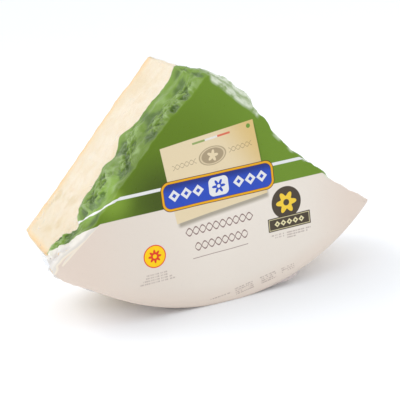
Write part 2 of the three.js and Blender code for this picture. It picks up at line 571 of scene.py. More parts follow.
    def loose_film(self, outline: Outline, depth: np.ndarray) -> np.ndarray:
        """How far the film stands off the paste: right bulges, front crumple, gathered corner.

        Args:
            outline: Outline rings.
            depth: Depth behind the front face.

        Returns:
            Millimetres outwards.
        """
        away = self.from_apex(outline.point)
        bulge = self.bulge(outline, depth)
        crumple = self.crumple_height * self.waves.height(away, depth, self.crumple_length)
        crumple = crumple * (1 - smoothstep(depth, 0.5 * self.crumple_depth, self.crumple_depth))
        gather = self.gather_height * self.gathered(outline, depth)
        return (1 - self.rind_share(outline)) * (bulge + crumple) + gather


@dataclass(frozen=True)
class FilmCreases:
    """Fine folds of the film: crumpled patches on both cuts near the front, and the gathering.

    A patch of the left cut is placed by its way from the apex and its depth behind the face.
    """

    panels: Creases = Creases(seed=11, length=36, waves=3, warp=0.4)
    folds: Creases = Creases(seed=5, length=15)
    clusters: Lattice = Lattice(seed=23)
    cluster_length: float = 21
    left_patches: tuple[Place, ...] = (
        (22, 13),
        (40, 9),
        (60, 16),
        (78, 50),
        (92, 38),
        (105, 22),
        (124, 42),
        (140, 34),
        (158, 34),
        (190, 38),
        (206, 18),
    )
    patch_reach: float = 11.5
    panel_height: float = 1.3
    cut_height: float = 1.9
    gather_height: float = 1.8
    edge_start: float = 1
    edge_end: float = 9
    fade_start: float = 40
    fade_end: float = 62
    right_share: float = 0.3
    cluster_rise: Span = (-0.3, 0.4)

    def near_front(self, depth: np.ndarray) -> np.ndarray:
        """How close behind the front edge: 0 on the edge, 1 behind it, 0 again further back."""
        near = smoothstep(depth, self.edge_start, self.edge_end)
        return near * (1 - smoothstep(depth, self.fade_start, self.fade_end))

    def patches(self, away: np.ndarray, depth: np.ndarray, right: np.ndarray) -> np.ndarray:
        """Works out how crumpled the film on the cuts is.

        Args:
            away: Way from the apex along the cut.
            depth: Depth behind the front face.
            right: Share of facing right at each point, where noise sets the patches.

        Returns:
            Shares from 0, smooth, to 1, crumpled.
        """
        left = sum(
            bell(np.hypot(away - way, depth - deep), self.patch_reach) for way, deep in self.left_patches
        )
        noise = self.clusters.height(away, depth, self.cluster_length)
        on_right = self.right_share * smoothstep(noise, *self.cluster_rise)
        share = lerp(np.minimum(left, 1), on_right, right)
        return share * self.near_front(depth)

    def height(
        self, place: np.ndarray, near: np.ndarray, crumpled: np.ndarray, gathered: np.ndarray
    ) -> np.ndarray:
        """Works out how far the folds stand out.

        Args:
            place: Film places, X and Z unfolded from the front face.
            near: Share of cut close behind the front edge, where the film lies in large panels.
            crumpled: How crumpled the film is at each point.
            gathered: Share of gathering at each point.

        Returns:
            Heights in millimetres: the large panels, and the folds by what the patches and the
            gathering give them.
        """
        across, along = place[..., 0], place[..., 1]
        weight = self.cut_height * crumpled + self.gather_height * gathered
        panels = self.panel_height * near * self.panels.height(across, along)
        return panels + weight * self.folds.height(across, along)


@dataclass(frozen=True)
class PrintEdge:
    """Where the bag's print ends, counted as depth behind the front face."""

    left_width: float = 54
    left_swells: tuple[Swell, ...] = (
        Swell(0, 0.06, 10),
        Swell(0.4, 0.045, 10),
        Swell(0.49, 0.03, -3),
        Swell(0.55, 0.03, 3),
        Swell(0.82, 0.055, -29),
        Swell(0.93, 0.06, -7),
        Swell(1.0, 0.05, -9),
    )
    right_width: float = 50
    right_swells: tuple[Swell, ...] = (Swell(0.2, 0.08, 9), Swell(0.5, 0.06, -6), Swell(0.78, 0.06, -14))
    rind_width: float = 45
    unevenness: float = 0.5
    uneven_length: float = 16

    def inside(self, form: WedgeForm, outline: Outline, depth: np.ndarray) -> np.ndarray:
        """Works out how far inside the print each point lies: the width there less the depth.

        Args:
            form: The wedge's form.
            outline: Outline rings.
            depth: Depth behind the front face.

        Returns:
            Millimetres inside the print, negative outside.
        """
        share = form.from_apex(outline.point) / form.wheel_radius
        left = self.left_width + swell_sum(self.left_swells, share)
        right = self.right_width + swell_sum(self.right_swells, share)
        width = lerp(lerp(left, right, form.on_right(outline)), self.rind_width, form.rind_share(outline))
        uneven = self.unevenness * form.waves.height(share * form.wheel_radius, depth, self.uneven_length)
        return width + uneven - depth


@dataclass
class SkinBuilder:
    """Builds the film's and the cheese's skins over one form."""

    form: WedgeForm
    creases: FilmCreases
    edge: PrintEdge
    face_crowding: float = 1.7
    print_fade: float = 0.12
    fold_fade: float = 0.01
    rim_fade: float = 0.014
    cling: Span = (2, 8)
    sinking: Span = (2, 12)

    def _rows(self) -> tuple[np.ndarray, np.ndarray, np.ndarray]:
        """Sets the rings between the two faces.

        Returns:
            The share of the depth, the lean from 1 on a face to 0 on the side, and whether
            the ring belongs to the front, one value for each ring.
        """
        form = self.form
        leans = 1 - np.arange(form.edge_rings) / form.edge_rings
        first = form.rind_edge_round_front / form.depth
        last = 1 - form.rind_edge_round_back / form.depth
        sides = lerp(first, last, np.linspace(0, 1, form.side_rings) ** form.ring_crowding)
        share = np.concatenate([0 * leans, sides, 0 * leans + 1])
        lean = np.concatenate([leans, 0 * sides, leans[::-1]])
        front = np.concatenate([0 * leans + 1, 0 * sides + 1, 0 * leans])
        return share, lean, front

    def _rounded(
        self, outline: Outline, share: np.ndarray, lean: np.ndarray, front: np.ndarray
    ) -> tuple[np.ndarray, np.ndarray, np.ndarray]:
        """Rounds the edges between the faces and the side.

        An edge ring stands in from the outline by its rounding times one less the cosine of
        its lean, and behind the face by the rounding times one less the sine. Towards the
        wheel's axis the rind's rounding counts, and across that the cut's.

        Args:
            outline: Outline rings.
            share: Share of the depth of each ring.
            lean: Lean of each ring, from 1 on a face to 0 on the side.
            front: 1 for each ring that belongs to the front.

        Returns:
            How far each point stands in from the outline, its depth behind the front face, and
            the way to it along the skin.
        """
        form = self.form
        rind = form.rind_share(outline)
        turn = (lean * math.pi / 2)[:, None]
        rind_round = lerp(form.rind_edge_round_back, form.rind_edge_round_front, front[:, None])
        edge_round = lerp(form.cut_edge_round, rind_round, rind)
        cut_inset = form.corner_hold * form.rind_corner_radius
        inset = lerp(cut_inset, rind_round, rind)
        radial, facing = form.radial(outline)
        over = outline.normal - radial * facing[..., None]
        lean_in = 1 - np.cos(turn)
        inward = lean_in[..., None] * (over * cut_inset + radial * (facing * rind_round)[..., None])
        depth_share = lerp(1, form.front_round_depth_share, front[:, None])
        depth_in = edge_round * depth_share * (1 - np.sin(turn))
        on_front = front[:, None] == 1
        side_depth = np.where(on_front, share[:, None] * form.depth, form.depth - depth_in)
        depth = np.where((share == 0)[:, None], depth_in, side_depth)
        return inward, depth, depth - inset * lean_in + inset

    def build(self, gap: float, folded: bool, hidden_gap: float = 0.0) -> Skin:
        """Builds one closed skin.

        The film place of a point is its front ring's place plus the way along the skin behind
        it. The cheese touches the film where it shows, and lies deeper under the print. Paste
        and film stand out less where a ring leans towards a face, by the cosine of half its
        turn.

        Args:
            gap: How far the skin lies inside the plain form.
            folded: True for the film with its bulges and folds, False for the cheese in it.
            hidden_gap: How much further in it lies under the print.

        Returns:
            The skin in millimetres, not yet moved onto the frame.
        """
        form = self.form
        share, lean, front = self._rows()
        outline = form.outline(share)
        rind = form.rind_share(outline)
        inward, depth, way = self._rounded(outline, share, lean, front)
        film_place = outline.point[:1] - inward[:1] + outline.normal[:1] * way[..., None]
        right = form.on_right(outline)
        crumpled = self.creases.patches(form.from_apex(outline.point), depth, right) * (1 - rind)
        behind = form.gathered(outline, depth) * smoothstep(depth, 0, form.gather_start)
        near = self.creases.near_front(depth) * (1 - rind) * lerp(1, self.creases.right_share, right)
        fold = self.creases.height(film_place, near, crumpled, behind)
        printed = self.edge.inside(form, outline, depth)
        close = 1.0 if folded else 1 - smoothstep(printed, *self.cling)
        out = form.torn_paste(outline, depth) + close * (form.loose_film(outline, depth) + fold)
        sunk = gap + hidden_gap * smoothstep(printed, *self.sinking)
        out = out * np.cos(lean * math.pi / 4)[:, None] - sunk
        flat = outline.point - inward + outline.normal * out[..., None]
        body = np.stack([flat[..., 0], depth, flat[..., 1]], axis=-1)
        body[..., 1] = np.clip(body[..., 1], sunk, form.depth - gap)
        lifted = form.lifted(outline, depth) * (1 - rind)
        values = (film_place, printed, behind, crumpled, fold, lifted, rind[:1])
        rings = Skin(body, body[0, 0], body[0, 0], *values)
        return self._with_faces(rings, gap, gap + hidden_gap)

    def _with_faces(self, skin: Skin, gap: float, front_gap: float) -> Skin:
        """Closes the rings with the front and back faces.

        Each face ring lies a share of the way from the edge ring to the face's middle, closer
        together near the edge, and stands out by the slack of the film there. What the finish
        reads fades from the edge ring inwards.

        Args:
            skin: The rings between the two faces.
            gap: How far the back face lies inside the plain form.
            front_gap: How far the front face lies inside the plain form.

        Returns:
            The closed skin.
        """
        form = self.form
        body = skin.rings
        inward = (np.arange(1, form.face_rings + 1) / (form.face_rings + 1)) ** self.face_crowding
        faces = []
        places = []
        for edge, middle_depth, outward in ((body[0], front_gap, -1), (body[-1], form.depth - gap, 1)):
            middle = np.array([0.0, middle_depth, form.face_centre_height])
            evened = sum(np.roll(edge, step, axis=0) for step in range(-form.evening, form.evening + 1))
            evened = evened / (2 * form.evening + 1)
            start = lerp(edge[None], evened[None], smoothstep(inward, 0, form.evening_reach)[:, None, None])
            ring = lerp(start, middle, inward[:, None, None])
            across, along = ring[..., 0], ring[..., 2]
            slack = form.face_slack * form.waves.height(across, along, form.face_slack_length)
            slack = slack * np.sin(inward * math.pi / 2)[:, None]
            ring[..., 1] += outward * slack
            faces.append((ring, middle))
            places.append(np.stack([across, along], axis=-1))
        front_ring, front_pole = faces[0]
        back_ring, back_pole = faces[1]
        rings = np.concatenate([front_ring[::-1], body, back_ring])
        rings[..., 2] = np.maximum(rings[..., 2], form.foot + gap)
        place = np.concatenate([places[0][::-1], skin.film_place, places[1]])
        fade = bell(inward[:, None], self.print_fade)
        edge_only = bell(inward[:, None], self.fold_fade)
        rim_only = bell(inward[:, None], self.rim_fade)

        def closed(values: np.ndarray, weight: np.ndarray, front: float, back: float) -> np.ndarray:
            """Adds the face rings' values: the edge's by weight, and the middles' for the rest."""
            before = lerp(front, values[:1], weight)[::-1]
            return np.concatenate([before, values, lerp(back, values[-1:], weight)])

        return Skin(
            rings=rings,
            front_pole=front_pole,
            back_pole=back_pole,
            film_place=place,
            printed=closed(skin.printed, fade, form.depth, -form.depth),
            gathered=closed(skin.gathered, edge_only, 0, 0),
            folded=closed(skin.folded, edge_only, 0, 0),
            fold=closed(skin.fold, edge_only, 0, 0),
            lifted=closed(skin.lifted, rim_only, 0, 0),
            rind=skin.rind,
        )


def offset_onto_frame(builder: SkinBuilder) -> np.ndarray:
    """Finds the move that brings the wedge's own place onto the frame.

    The solid's origin lies under the middle of its box: X takes the frame's right side less the
    form's furthest reach to the right, Y half the depth, Z the foot.

    Args:
        builder: The builder of the wedge's skins.

    Returns:
        The move in millimetres.
    """
    lowest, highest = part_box(NODE)
    bare = builder.build(gap=0.0, folded=False).rings
    right = highest[0] / METRE - bare[..., 0].max()
    return np.array([right, -builder.form.depth / 2, lowest[2] / METRE - builder.form.foot])


def put_in_scene(name: str, data: bpy.types.ID) -> bpy.types.Object:
    """Makes an object and links it to the scene.

    Args:
        name: Name of the object.
        data: Its mesh, camera or light.

    Returns:
        The object.
    """
    made = bpy.data.objects.new(name, data)
    bpy.context.scene.collection.objects.link(made)
    return made


def closed_mesh(
    name: str, rings: np.ndarray, first_pole: np.ndarray, last_pole: np.ndarray, offset: np.ndarray
) -> bpy.types.Object:
    """Makes a closed mesh object from rings.

    Quads join neighbouring rings, and a fan of triangles closes the first and the last.

    Args:
        name: Name of the piece.
        rings: Rings of points in millimetres, one row each.
        first_pole: The point that closes the first ring.
        last_pole: The point that closes the last ring.
        offset: Move onto the frame in millimetres.

    Returns:
        The object, standing at the origin with its place in its mesh.
    """
    rows, columns = rings.shape[:2]
    points = np.concatenate([[first_pole], rings.reshape(-1, 3), [last_pole]])
    points = (points + offset) * METRE
    number = 1 + np.arange(rows * columns).reshape(rows, columns)
    after = np.roll(number, -1, axis=1)
    quads = np.stack([number[:-1], number[1:], after[1:], after[:-1]], axis=-1).reshape(-1, 4)
    front_fan = np.stack([np.zeros(columns, int), number[0], after[0]], axis=-1)
    back_fan = np.stack([np.full(columns, len(points) - 1), after[-1], number[-1]], axis=-1)
    mesh = bpy.data.meshes.new(name)
    mesh.from_pydata(points.tolist(), [], front_fan.tolist() + quads.tolist() + back_fan.tolist())
    mesh.polygons.foreach_set("use_smooth", np.ones(len(mesh.polygons), bool))
    mesh.update()
    return put_in_scene(name, mesh)


def per_point(values: np.ndarray, front: float, back: float) -> np.ndarray:
    """Adds the two poles' values to a ring attribute, in the order of the mesh's points."""
    return np.concatenate([[front], values.reshape(-1), [back]])


def add_float(mesh: bpy.types.Mesh, name: str, values: np.ndarray) -> None:
    """Stores one number for each point of a mesh under a name."""
    mesh.attributes.new(name, "FLOAT", "POINT").data.foreach_set("value", values.astype(np.float32))


def add_place(mesh: bpy.types.Mesh, name: str, values: np.ndarray) -> None:
    """Stores one vector for each point of a mesh under a name."""
    flat = values.astype(np.float32).reshape(-1)
    mesh.attributes.new(name, "FLOAT_VECTOR", "POINT").data.foreach_set("vector", flat)


def settle(made: bpy.types.Object, material: bpy.types.Material) -> None:
    """Finishes a piece: its material and slot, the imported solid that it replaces, its body.

    Args:
        made: The piece.
        material: Its material.
    """
    made.data.materials.append(material)
    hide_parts(NODE)
    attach(made, ROOT)


@dataclass
class Nodes:
    """Short calls that add nodes to one tree and link them."""

    tree: bpy.types.NodeTree

    def feed(self, socket: Socket, value: Value) -> None:
        """Links a socket, or sets it where the value is a plain number or vector."""
        if isinstance(value, bpy.types.NodeSocket):
            self.tree.links.new(value, socket)
        else:
            socket.default_value = value

    def add(
        self, kind: str, inputs: dict[str | int, Value] | None = None, **settings: object
    ) -> bpy.types.Node:
        """Adds a node.

        Args:
            kind: Blender's name for the kind of node.
            inputs: Values or sockets by the name or number of the node's input.
            **settings: The node's own settings.

        Returns:
            The node.
        """
        node = self.tree.nodes.new(kind)
        for name, value in settings.items():
            setattr(node, name, value)
        for key, value in (inputs or {}).items():
            self.feed(node.inputs[key], value)
        return node

    def math(self, operation: str, *values: Value, clamp: bool = False) -> Socket:
        """Adds a Math node."""
        inputs = dict(enumerate(values))
        return self.add("ShaderNodeMath", inputs, operation=operation, use_clamp=clamp).outputs[0]

    def times(self, first: Socket, *others: Value, clamp: bool = False) -> Socket:
        """Multiplies numbers from left to right."""
        for other in others:
            first = self.math("MULTIPLY", first, other, clamp=clamp)
        return first

    def plus(self, first: Value, second: Value) -> Socket:
        """Adds two numbers."""
        return self.math("ADD", first, second)

    def less(self, first: Value, second: Value) -> Socket:
        """Takes the second number from the first."""
        return self.math("SUBTRACT", first, second)

    def size(self, value: Socket) -> Socket:
        """The size of a number, whatever its sign."""
        return self.math("ABSOLUTE", value)

    def vector(self, operation: str, *values: Value) -> Socket:
        """Adds a Vector Math node that gives a vector."""
        return self.add("ShaderNodeVectorMath", dict(enumerate(values)), operation=operation).outputs[0]

    def measure(self, operation: str, *values: Value) -> Socket:
        """Adds a Vector Math node that gives a number."""
        node = self.add("ShaderNodeVectorMath", dict(enumerate(values)), operation=operation)
        return node.outputs["Value"]

    def mix(self, share: Value, under: Value, over: Value) -> Socket:
        """Adds a colour mix: under at 0, over at 1."""
        inputs = {"Factor": share, 6: under, 7: over}
        return self.add("ShaderNodeMix", inputs, data_type="RGBA").outputs[2]

    def blend(self, share: Value, under: Value, over: Value) -> Socket:
        """Adds a mix of two numbers: under at 0, over at 1."""
        return self.add("ShaderNodeMix", {0: share, 2: under, 3: over}, data_type="FLOAT").outputs[0]

    def rise(self, value: Value, low: Value, high: Value) -> Socket:
        """Adds a smooth rise from 0 at low to 1 at high."""
        inputs = {"Value": value, "From Min": low, "From Max": high}
        return self.add("ShaderNodeMapRange", inputs, interpolation_type="SMOOTHSTEP").outputs["Result"]

    def step(self, value: Socket, at: float, soft: float) -> Socket:
        """Adds a step up at a value, soft by a distance on both sides, or down where that is negative."""
        return self.rise(value, at - soft, at + soft)

    def within(self, place: Socket, half: Socket, fade: float) -> Socket:
        """Adds a mask: 1 within half a size of the middle, fading out towards its ends."""
        return self.rise(self.less(half, self.size(place)), 0.0, fade)

    def split(self, vector: Socket) -> tuple[Socket, Socket, Socket]:
        """Splits a vector into its three numbers."""
        return tuple(self.add("ShaderNodeSeparateXYZ", {0: vector}).outputs)

    def join(self, *values: Value) -> Socket:
        """Joins numbers to a vector."""
        return self.add("ShaderNodeCombineXYZ", dict(enumerate(values))).outputs[0]

    def noise(self, vector: Socket, scale: float, detail: float = 2, roughness: float = 0.5) -> Socket:
        """Adds a noise texture, from 0 to 1."""
        inputs = {"Vector": vector, "Scale": scale, "Detail": detail, "Roughness": roughness}
        return self.add("ShaderNodeTexNoise", inputs).outputs["Fac"]

    def moved(self, vector: Socket, centre: Place, turn: float = 0.0) -> Socket:
        """Moves and turns a film place into a patch's own axes, from its centre."""
        inputs = {"Vector": vector, "Location": (*centre, 0), "Rotation": (0, 0, math.radians(turn))}
        return self.add("ShaderNodeMapping", inputs, vector_type="TEXTURE").outputs[0]

    def attribute(self, name: str, output: str = "Fac") -> Socket:
        """Adds an Attribute node for one of the mesh's own attributes."""
        node = self.add("ShaderNodeAttribute", attribute_type="GEOMETRY", attribute_name=name)
        return node.outputs[output]

    def group(self, tree: bpy.types.NodeTree, **inputs: Value) -> Socket:
        """Adds a node group and feeds its inputs by name."""
        return self.add("ShaderNodeGroup", inputs, node_tree=tree).outputs[0]

    def bump(self, shader: bpy.types.Node, height: Socket, strength: float, distance: float) -> None:
        """Bumps a shader's surface by a height, where 1 stands for a distance in metres."""
        node = self.add("ShaderNodeBump", {"Strength": strength, "Distance": distance, "Height": height})
        self.feed(shader.inputs["Normal"], node.outputs[0])


def new_material(name: str, fixed: dict[str, Value]) -> tuple[bpy.types.Material, Nodes, bpy.types.Node]:
    """Starts a material.

    Args:
        name: Name of the material.
        fixed: What is the same all over the surface, by the name of the shader's own socket.

    Returns:
        The material, its node calls and its Principled shader.
    """
    material = bpy.data.materials.new(name)
    material.use_nodes = True
    shader = material.node_tree.nodes["Principled BSDF"]
    for label, value in fixed.items():
        shader.inputs[label].default_value = value
    return material, Nodes(material.node_tree), shader


def new_group(name: str, vectors: Sequence[str], numbers: Sequence[str]) -> tuple[Nodes, dict[str, Socket]]:
    """Starts a shader node group with one output, a mask.

    Args:
        name: Name of the group.
        vectors: Names of its vector inputs.
        numbers: Names of its number inputs.

    Returns:
        The group's node calls, and its input sockets by name.
    """
    tree = bpy.data.node_groups.new(name, "ShaderNodeTree")
    for label in (*vectors, *numbers):
        kind = "NodeSocketVector" if label in vectors else "NodeSocketFloat"
        tree.interface.new_socket(label, in_out="INPUT", socket_type=kind)
    tree.interface.new_socket("Mask", in_out="OUTPUT", socket_type="NodeSocketFloat")
    nodes = Nodes(tree)
    given = nodes.add("NodeGroupInput")
    return nodes, {label: given.outputs[label] for label in (*vectors, *numbers)}


def end_group(nodes: Nodes, mask: Socket) -> bpy.types.NodeTree:
    """Links a group's mask to its output and returns the group's tree."""
    nodes.add("NodeGroupOutput", {0: mask})
    return nodes.tree


@dataclass(frozen=True)
class PrintShapes:
    """The simple shapes that the print is laid out of, each a node group that gives a mask.

    Soft edges and fading ends are in millimetres. The stripe of a fine line is a span of
    shares of the pitch, and its breaks are a span of noise, which is read a shift further
    on for each row.
    """

    soft: ClassVar[float] = 0.25
    line_soft: ClassVar[float] = 0.2
    wave_ends: ClassVar[float] = 0.4
    row_ends: ClassVar[float] = 0.3
    stripe: ClassVar[Span] = (0.42, 0.2)
    row_shift: ClassVar[float] = 7.3
    break_scale: ClassVar[float] = 0.75
    breaks: ClassVar[Span] = (0.4, 0.56)
    line_ends: ClassVar[float] = 0.5
    line_top: ClassVar[float] = 0.2

    block: bpy.types.NodeTree
    disc: bpy.types.NodeTree
    wave: bpy.types.NodeTree
    row: bpy.types.NodeTree
    rosette: bpy.types.NodeTree
    fine_lines: bpy.types.NodeTree

    @classmethod
    def make(cls) -> "PrintShapes":
        """Builds all the groups."""
        return cls(cls._block(), cls._disc(), cls._wave(), cls._row(), cls._rosette(), cls._fine_lines())

    @staticmethod
    def _block() -> bpy.types.NodeTree:
        """Builds a rounded rectangle.

        The mask is 1 where the length of what is left of the place's size beyond the half
        size less the corner is under the corner radius, softened by the edge's width.

        Returns:
            The group.
        """
        nodes, given = new_group("print_block", ("Place", "Half"), ("Corner", "Soft"))
        size = nodes.vector("ABSOLUTE", given["Place"])
        beyond = nodes.vector("SUBTRACT", size, given["Half"])
        beyond = nodes.vector("ADD", beyond, nodes.join(given["Corner"], given["Corner"]))
        across, along, _ = nodes.split(nodes.vector("MAXIMUM", beyond, (0, 0, 0)))
        squares = nodes.plus(nodes.times(across, across), nodes.times(along, along))
        inside = nodes.less(given["Corner"], nodes.math("SQRT", squares))
        low = nodes.times(given["Soft"], -1.0)
        return end_group(nodes, nodes.rise(inside, low, given["Soft"]))

    @staticmethod
    def _disc() -> bpy.types.NodeTree:
        """Builds a disc, or an ellipse where the place was stretched.

        The mask is 1 where the radius less the distance is above nothing, softened by the
        edge's width.

        Returns:
            The group.
        """
        nodes, given = new_group("print_disc", ("Place",), ("Radius", "Soft"))
        inside = nodes.less(given["Radius"], nodes.measure("LENGTH", given["Place"]))
        low = nodes.times(given["Soft"], -1.0)
        return end_group(nodes, nodes.rise(inside, low, given["Soft"]))

    @classmethod
    def _wave(cls) -> bpy.types.NodeTree:
        """Builds a waving line: half the thickness less the distance from a sine of the pitch.

        Returns:
            The group.
        """
        nodes, given = new_group("print_wave", ("Place",), ("Pitch", "Height", "Phase", "Thick", "Half"))
        across, along, _ = nodes.split(given["Place"])
        angle = nodes.times(nodes.math("DIVIDE", across, given["Pitch"]), 2 * math.pi)
        sine = nodes.math("SINE", nodes.plus(angle, given["Phase"]))
        away = nodes.size(nodes.less(along, nodes.times(sine, given["Height"])))
        line = nodes.step(nodes.less(given["Thick"], away), 0.0, cls.line_soft)
        return end_group(nodes, nodes.times(line, nodes.within(across, given["Half"], cls.wave_ends)))

    @classmethod
    def _row(cls) -> bpy.types.NodeTree:
        """Builds a row of diamonds: the radius less the summed distances in both directions.

        Returns:
            The group.
        """
        nodes, given = new_group("print_row", ("Place",), ("Pitch", "Radius", "Hole", "Half"))
        across, along, _ = nodes.split(given["Place"])
        place = nodes.plus(nodes.math("DIVIDE", across, given["Pitch"]), 0.5)
        local = nodes.times(nodes.less(nodes.math("FRACT", place), 0.5), given["Pitch"])
        away = nodes.plus(nodes.size(local), nodes.size(along))
        whole = nodes.step(nodes.less(given["Radius"], away), 0.0, cls.soft)
        solid = nodes.step(nodes.less(away, given["Hole"]), 0.0, cls.soft)
        ends = nodes.within(across, given["Half"], cls.row_ends)
        return end_group(nodes, nodes.times(whole, solid, ends))

    @classmethod
    def _rosette(cls) -> bpy.types.NodeTree:
        """Builds a flower of round petals: the radius, waving with the angle, less the distance.

        Returns:
            The group.
        """
        nodes, given = new_group("print_rosette", ("Place",), ("Radius", "Petals", "Wave"))
        across, along, _ = nodes.split(given["Place"])
        angle = nodes.math("ARCTAN2", along, across)
        wave = nodes.math("COSINE", nodes.times(angle, given["Petals"]))
        reach = nodes.math("MULTIPLY_ADD", wave, given["Wave"], given["Radius"])
        inside = nodes.less(reach, nodes.measure("LENGTH", given["Place"]))
        return end_group(nodes, nodes.step(inside, 0.0, cls.soft))

    @classmethod
    def _fine_lines(cls) -> bpy.types.NodeTree:
        """Builds rows of broken grey line: a stripe in each pitch, broken where noise is low.

        Returns:
            The group.
        """
        nodes, given = new_group("print_fine_lines", ("Place", "Half"), ("Pitch", "Shift"))
        across, along, _ = nodes.split(given["Place"])
        wide, high, _ = nodes.split(given["Half"])
        row = nodes.math("DIVIDE", nodes.plus(along, high), given["Pitch"])
        stripe = nodes.rise(nodes.size(nodes.less(nodes.math("FRACT", row), 0.5)), *cls.stripe)
        shifted = nodes.times(nodes.math("FLOOR", row), cls.row_shift)
        place = nodes.join(across, shifted, given["Shift"])
        broken = nodes.rise(nodes.noise(place, cls.break_scale, detail=3), *cls.breaks)
        ends = nodes.within(across, wide, cls.line_ends)
        top = nodes.within(along, high, cls.line_top)
        return end_group(nodes, nodes.times(nodes.times(stripe, broken), nodes.times(ends, top)))


@dataclass(frozen=True)
class PrintColours:
    """The inks of the bag's print, as the light shows them on screen, with painted shade and a painted
    highlight among them.
    """

    cream: Colour = paint(230, 221, 210)
    # Painted shade: the cream darker on the left, and pink along the rounded rind edge and towards both
    # corners.
    cream_left_painted_shade: Colour = paint(222, 211, 199)
    pink_painted_shade: Colour = paint(222, 204, 190)
    folded_cream: Colour = paint(221, 215, 206)
    # Painted highlight along the fold by the left rind corner.
    fold_highlight: Colour = paint(240, 228, 208)
    green_deep: Colour = paint(66, 84, 14)
    green_mid: Colour = paint(94, 122, 22)
    green_light: Colour = paint(108, 140, 40)
    green_bright: Colour = paint(140, 172, 60)
    white: Colour = paint(226, 226, 226)
    parchment: Colour = paint(225, 207, 171)
    parchment_deep: Colour = paint(216, 186, 122)
    shade: Colour = (0.5, 0.49, 0.44, 1.0)
    ribbon_green: Colour = paint(110, 150, 60)
    ribbon_red: Colour = paint(214, 60, 44)
    sepia: Colour = paint(150, 132, 104)
    sepia_dark: Colour = paint(112, 94, 72)
    panel_line: Colour = paint(84, 46, 34)
    gold: Colour = paint(232, 168, 24)
    blue: Colour = paint(44, 76, 184)
    blue_deep: Colour = paint(34, 52, 132)
    maroon: Colour = paint(104, 62, 62)
    seal_yellow: Colour = paint(250, 204, 8)
    seal_red: Colour = paint(222, 60, 30)
    badge: Colour = paint(76, 66, 54)
    badge_yellow: Colour = paint(240, 202, 62)
    badge_line: Colour = paint(226, 216, 170)
    grey_line: Colour = paint(150, 130, 124)


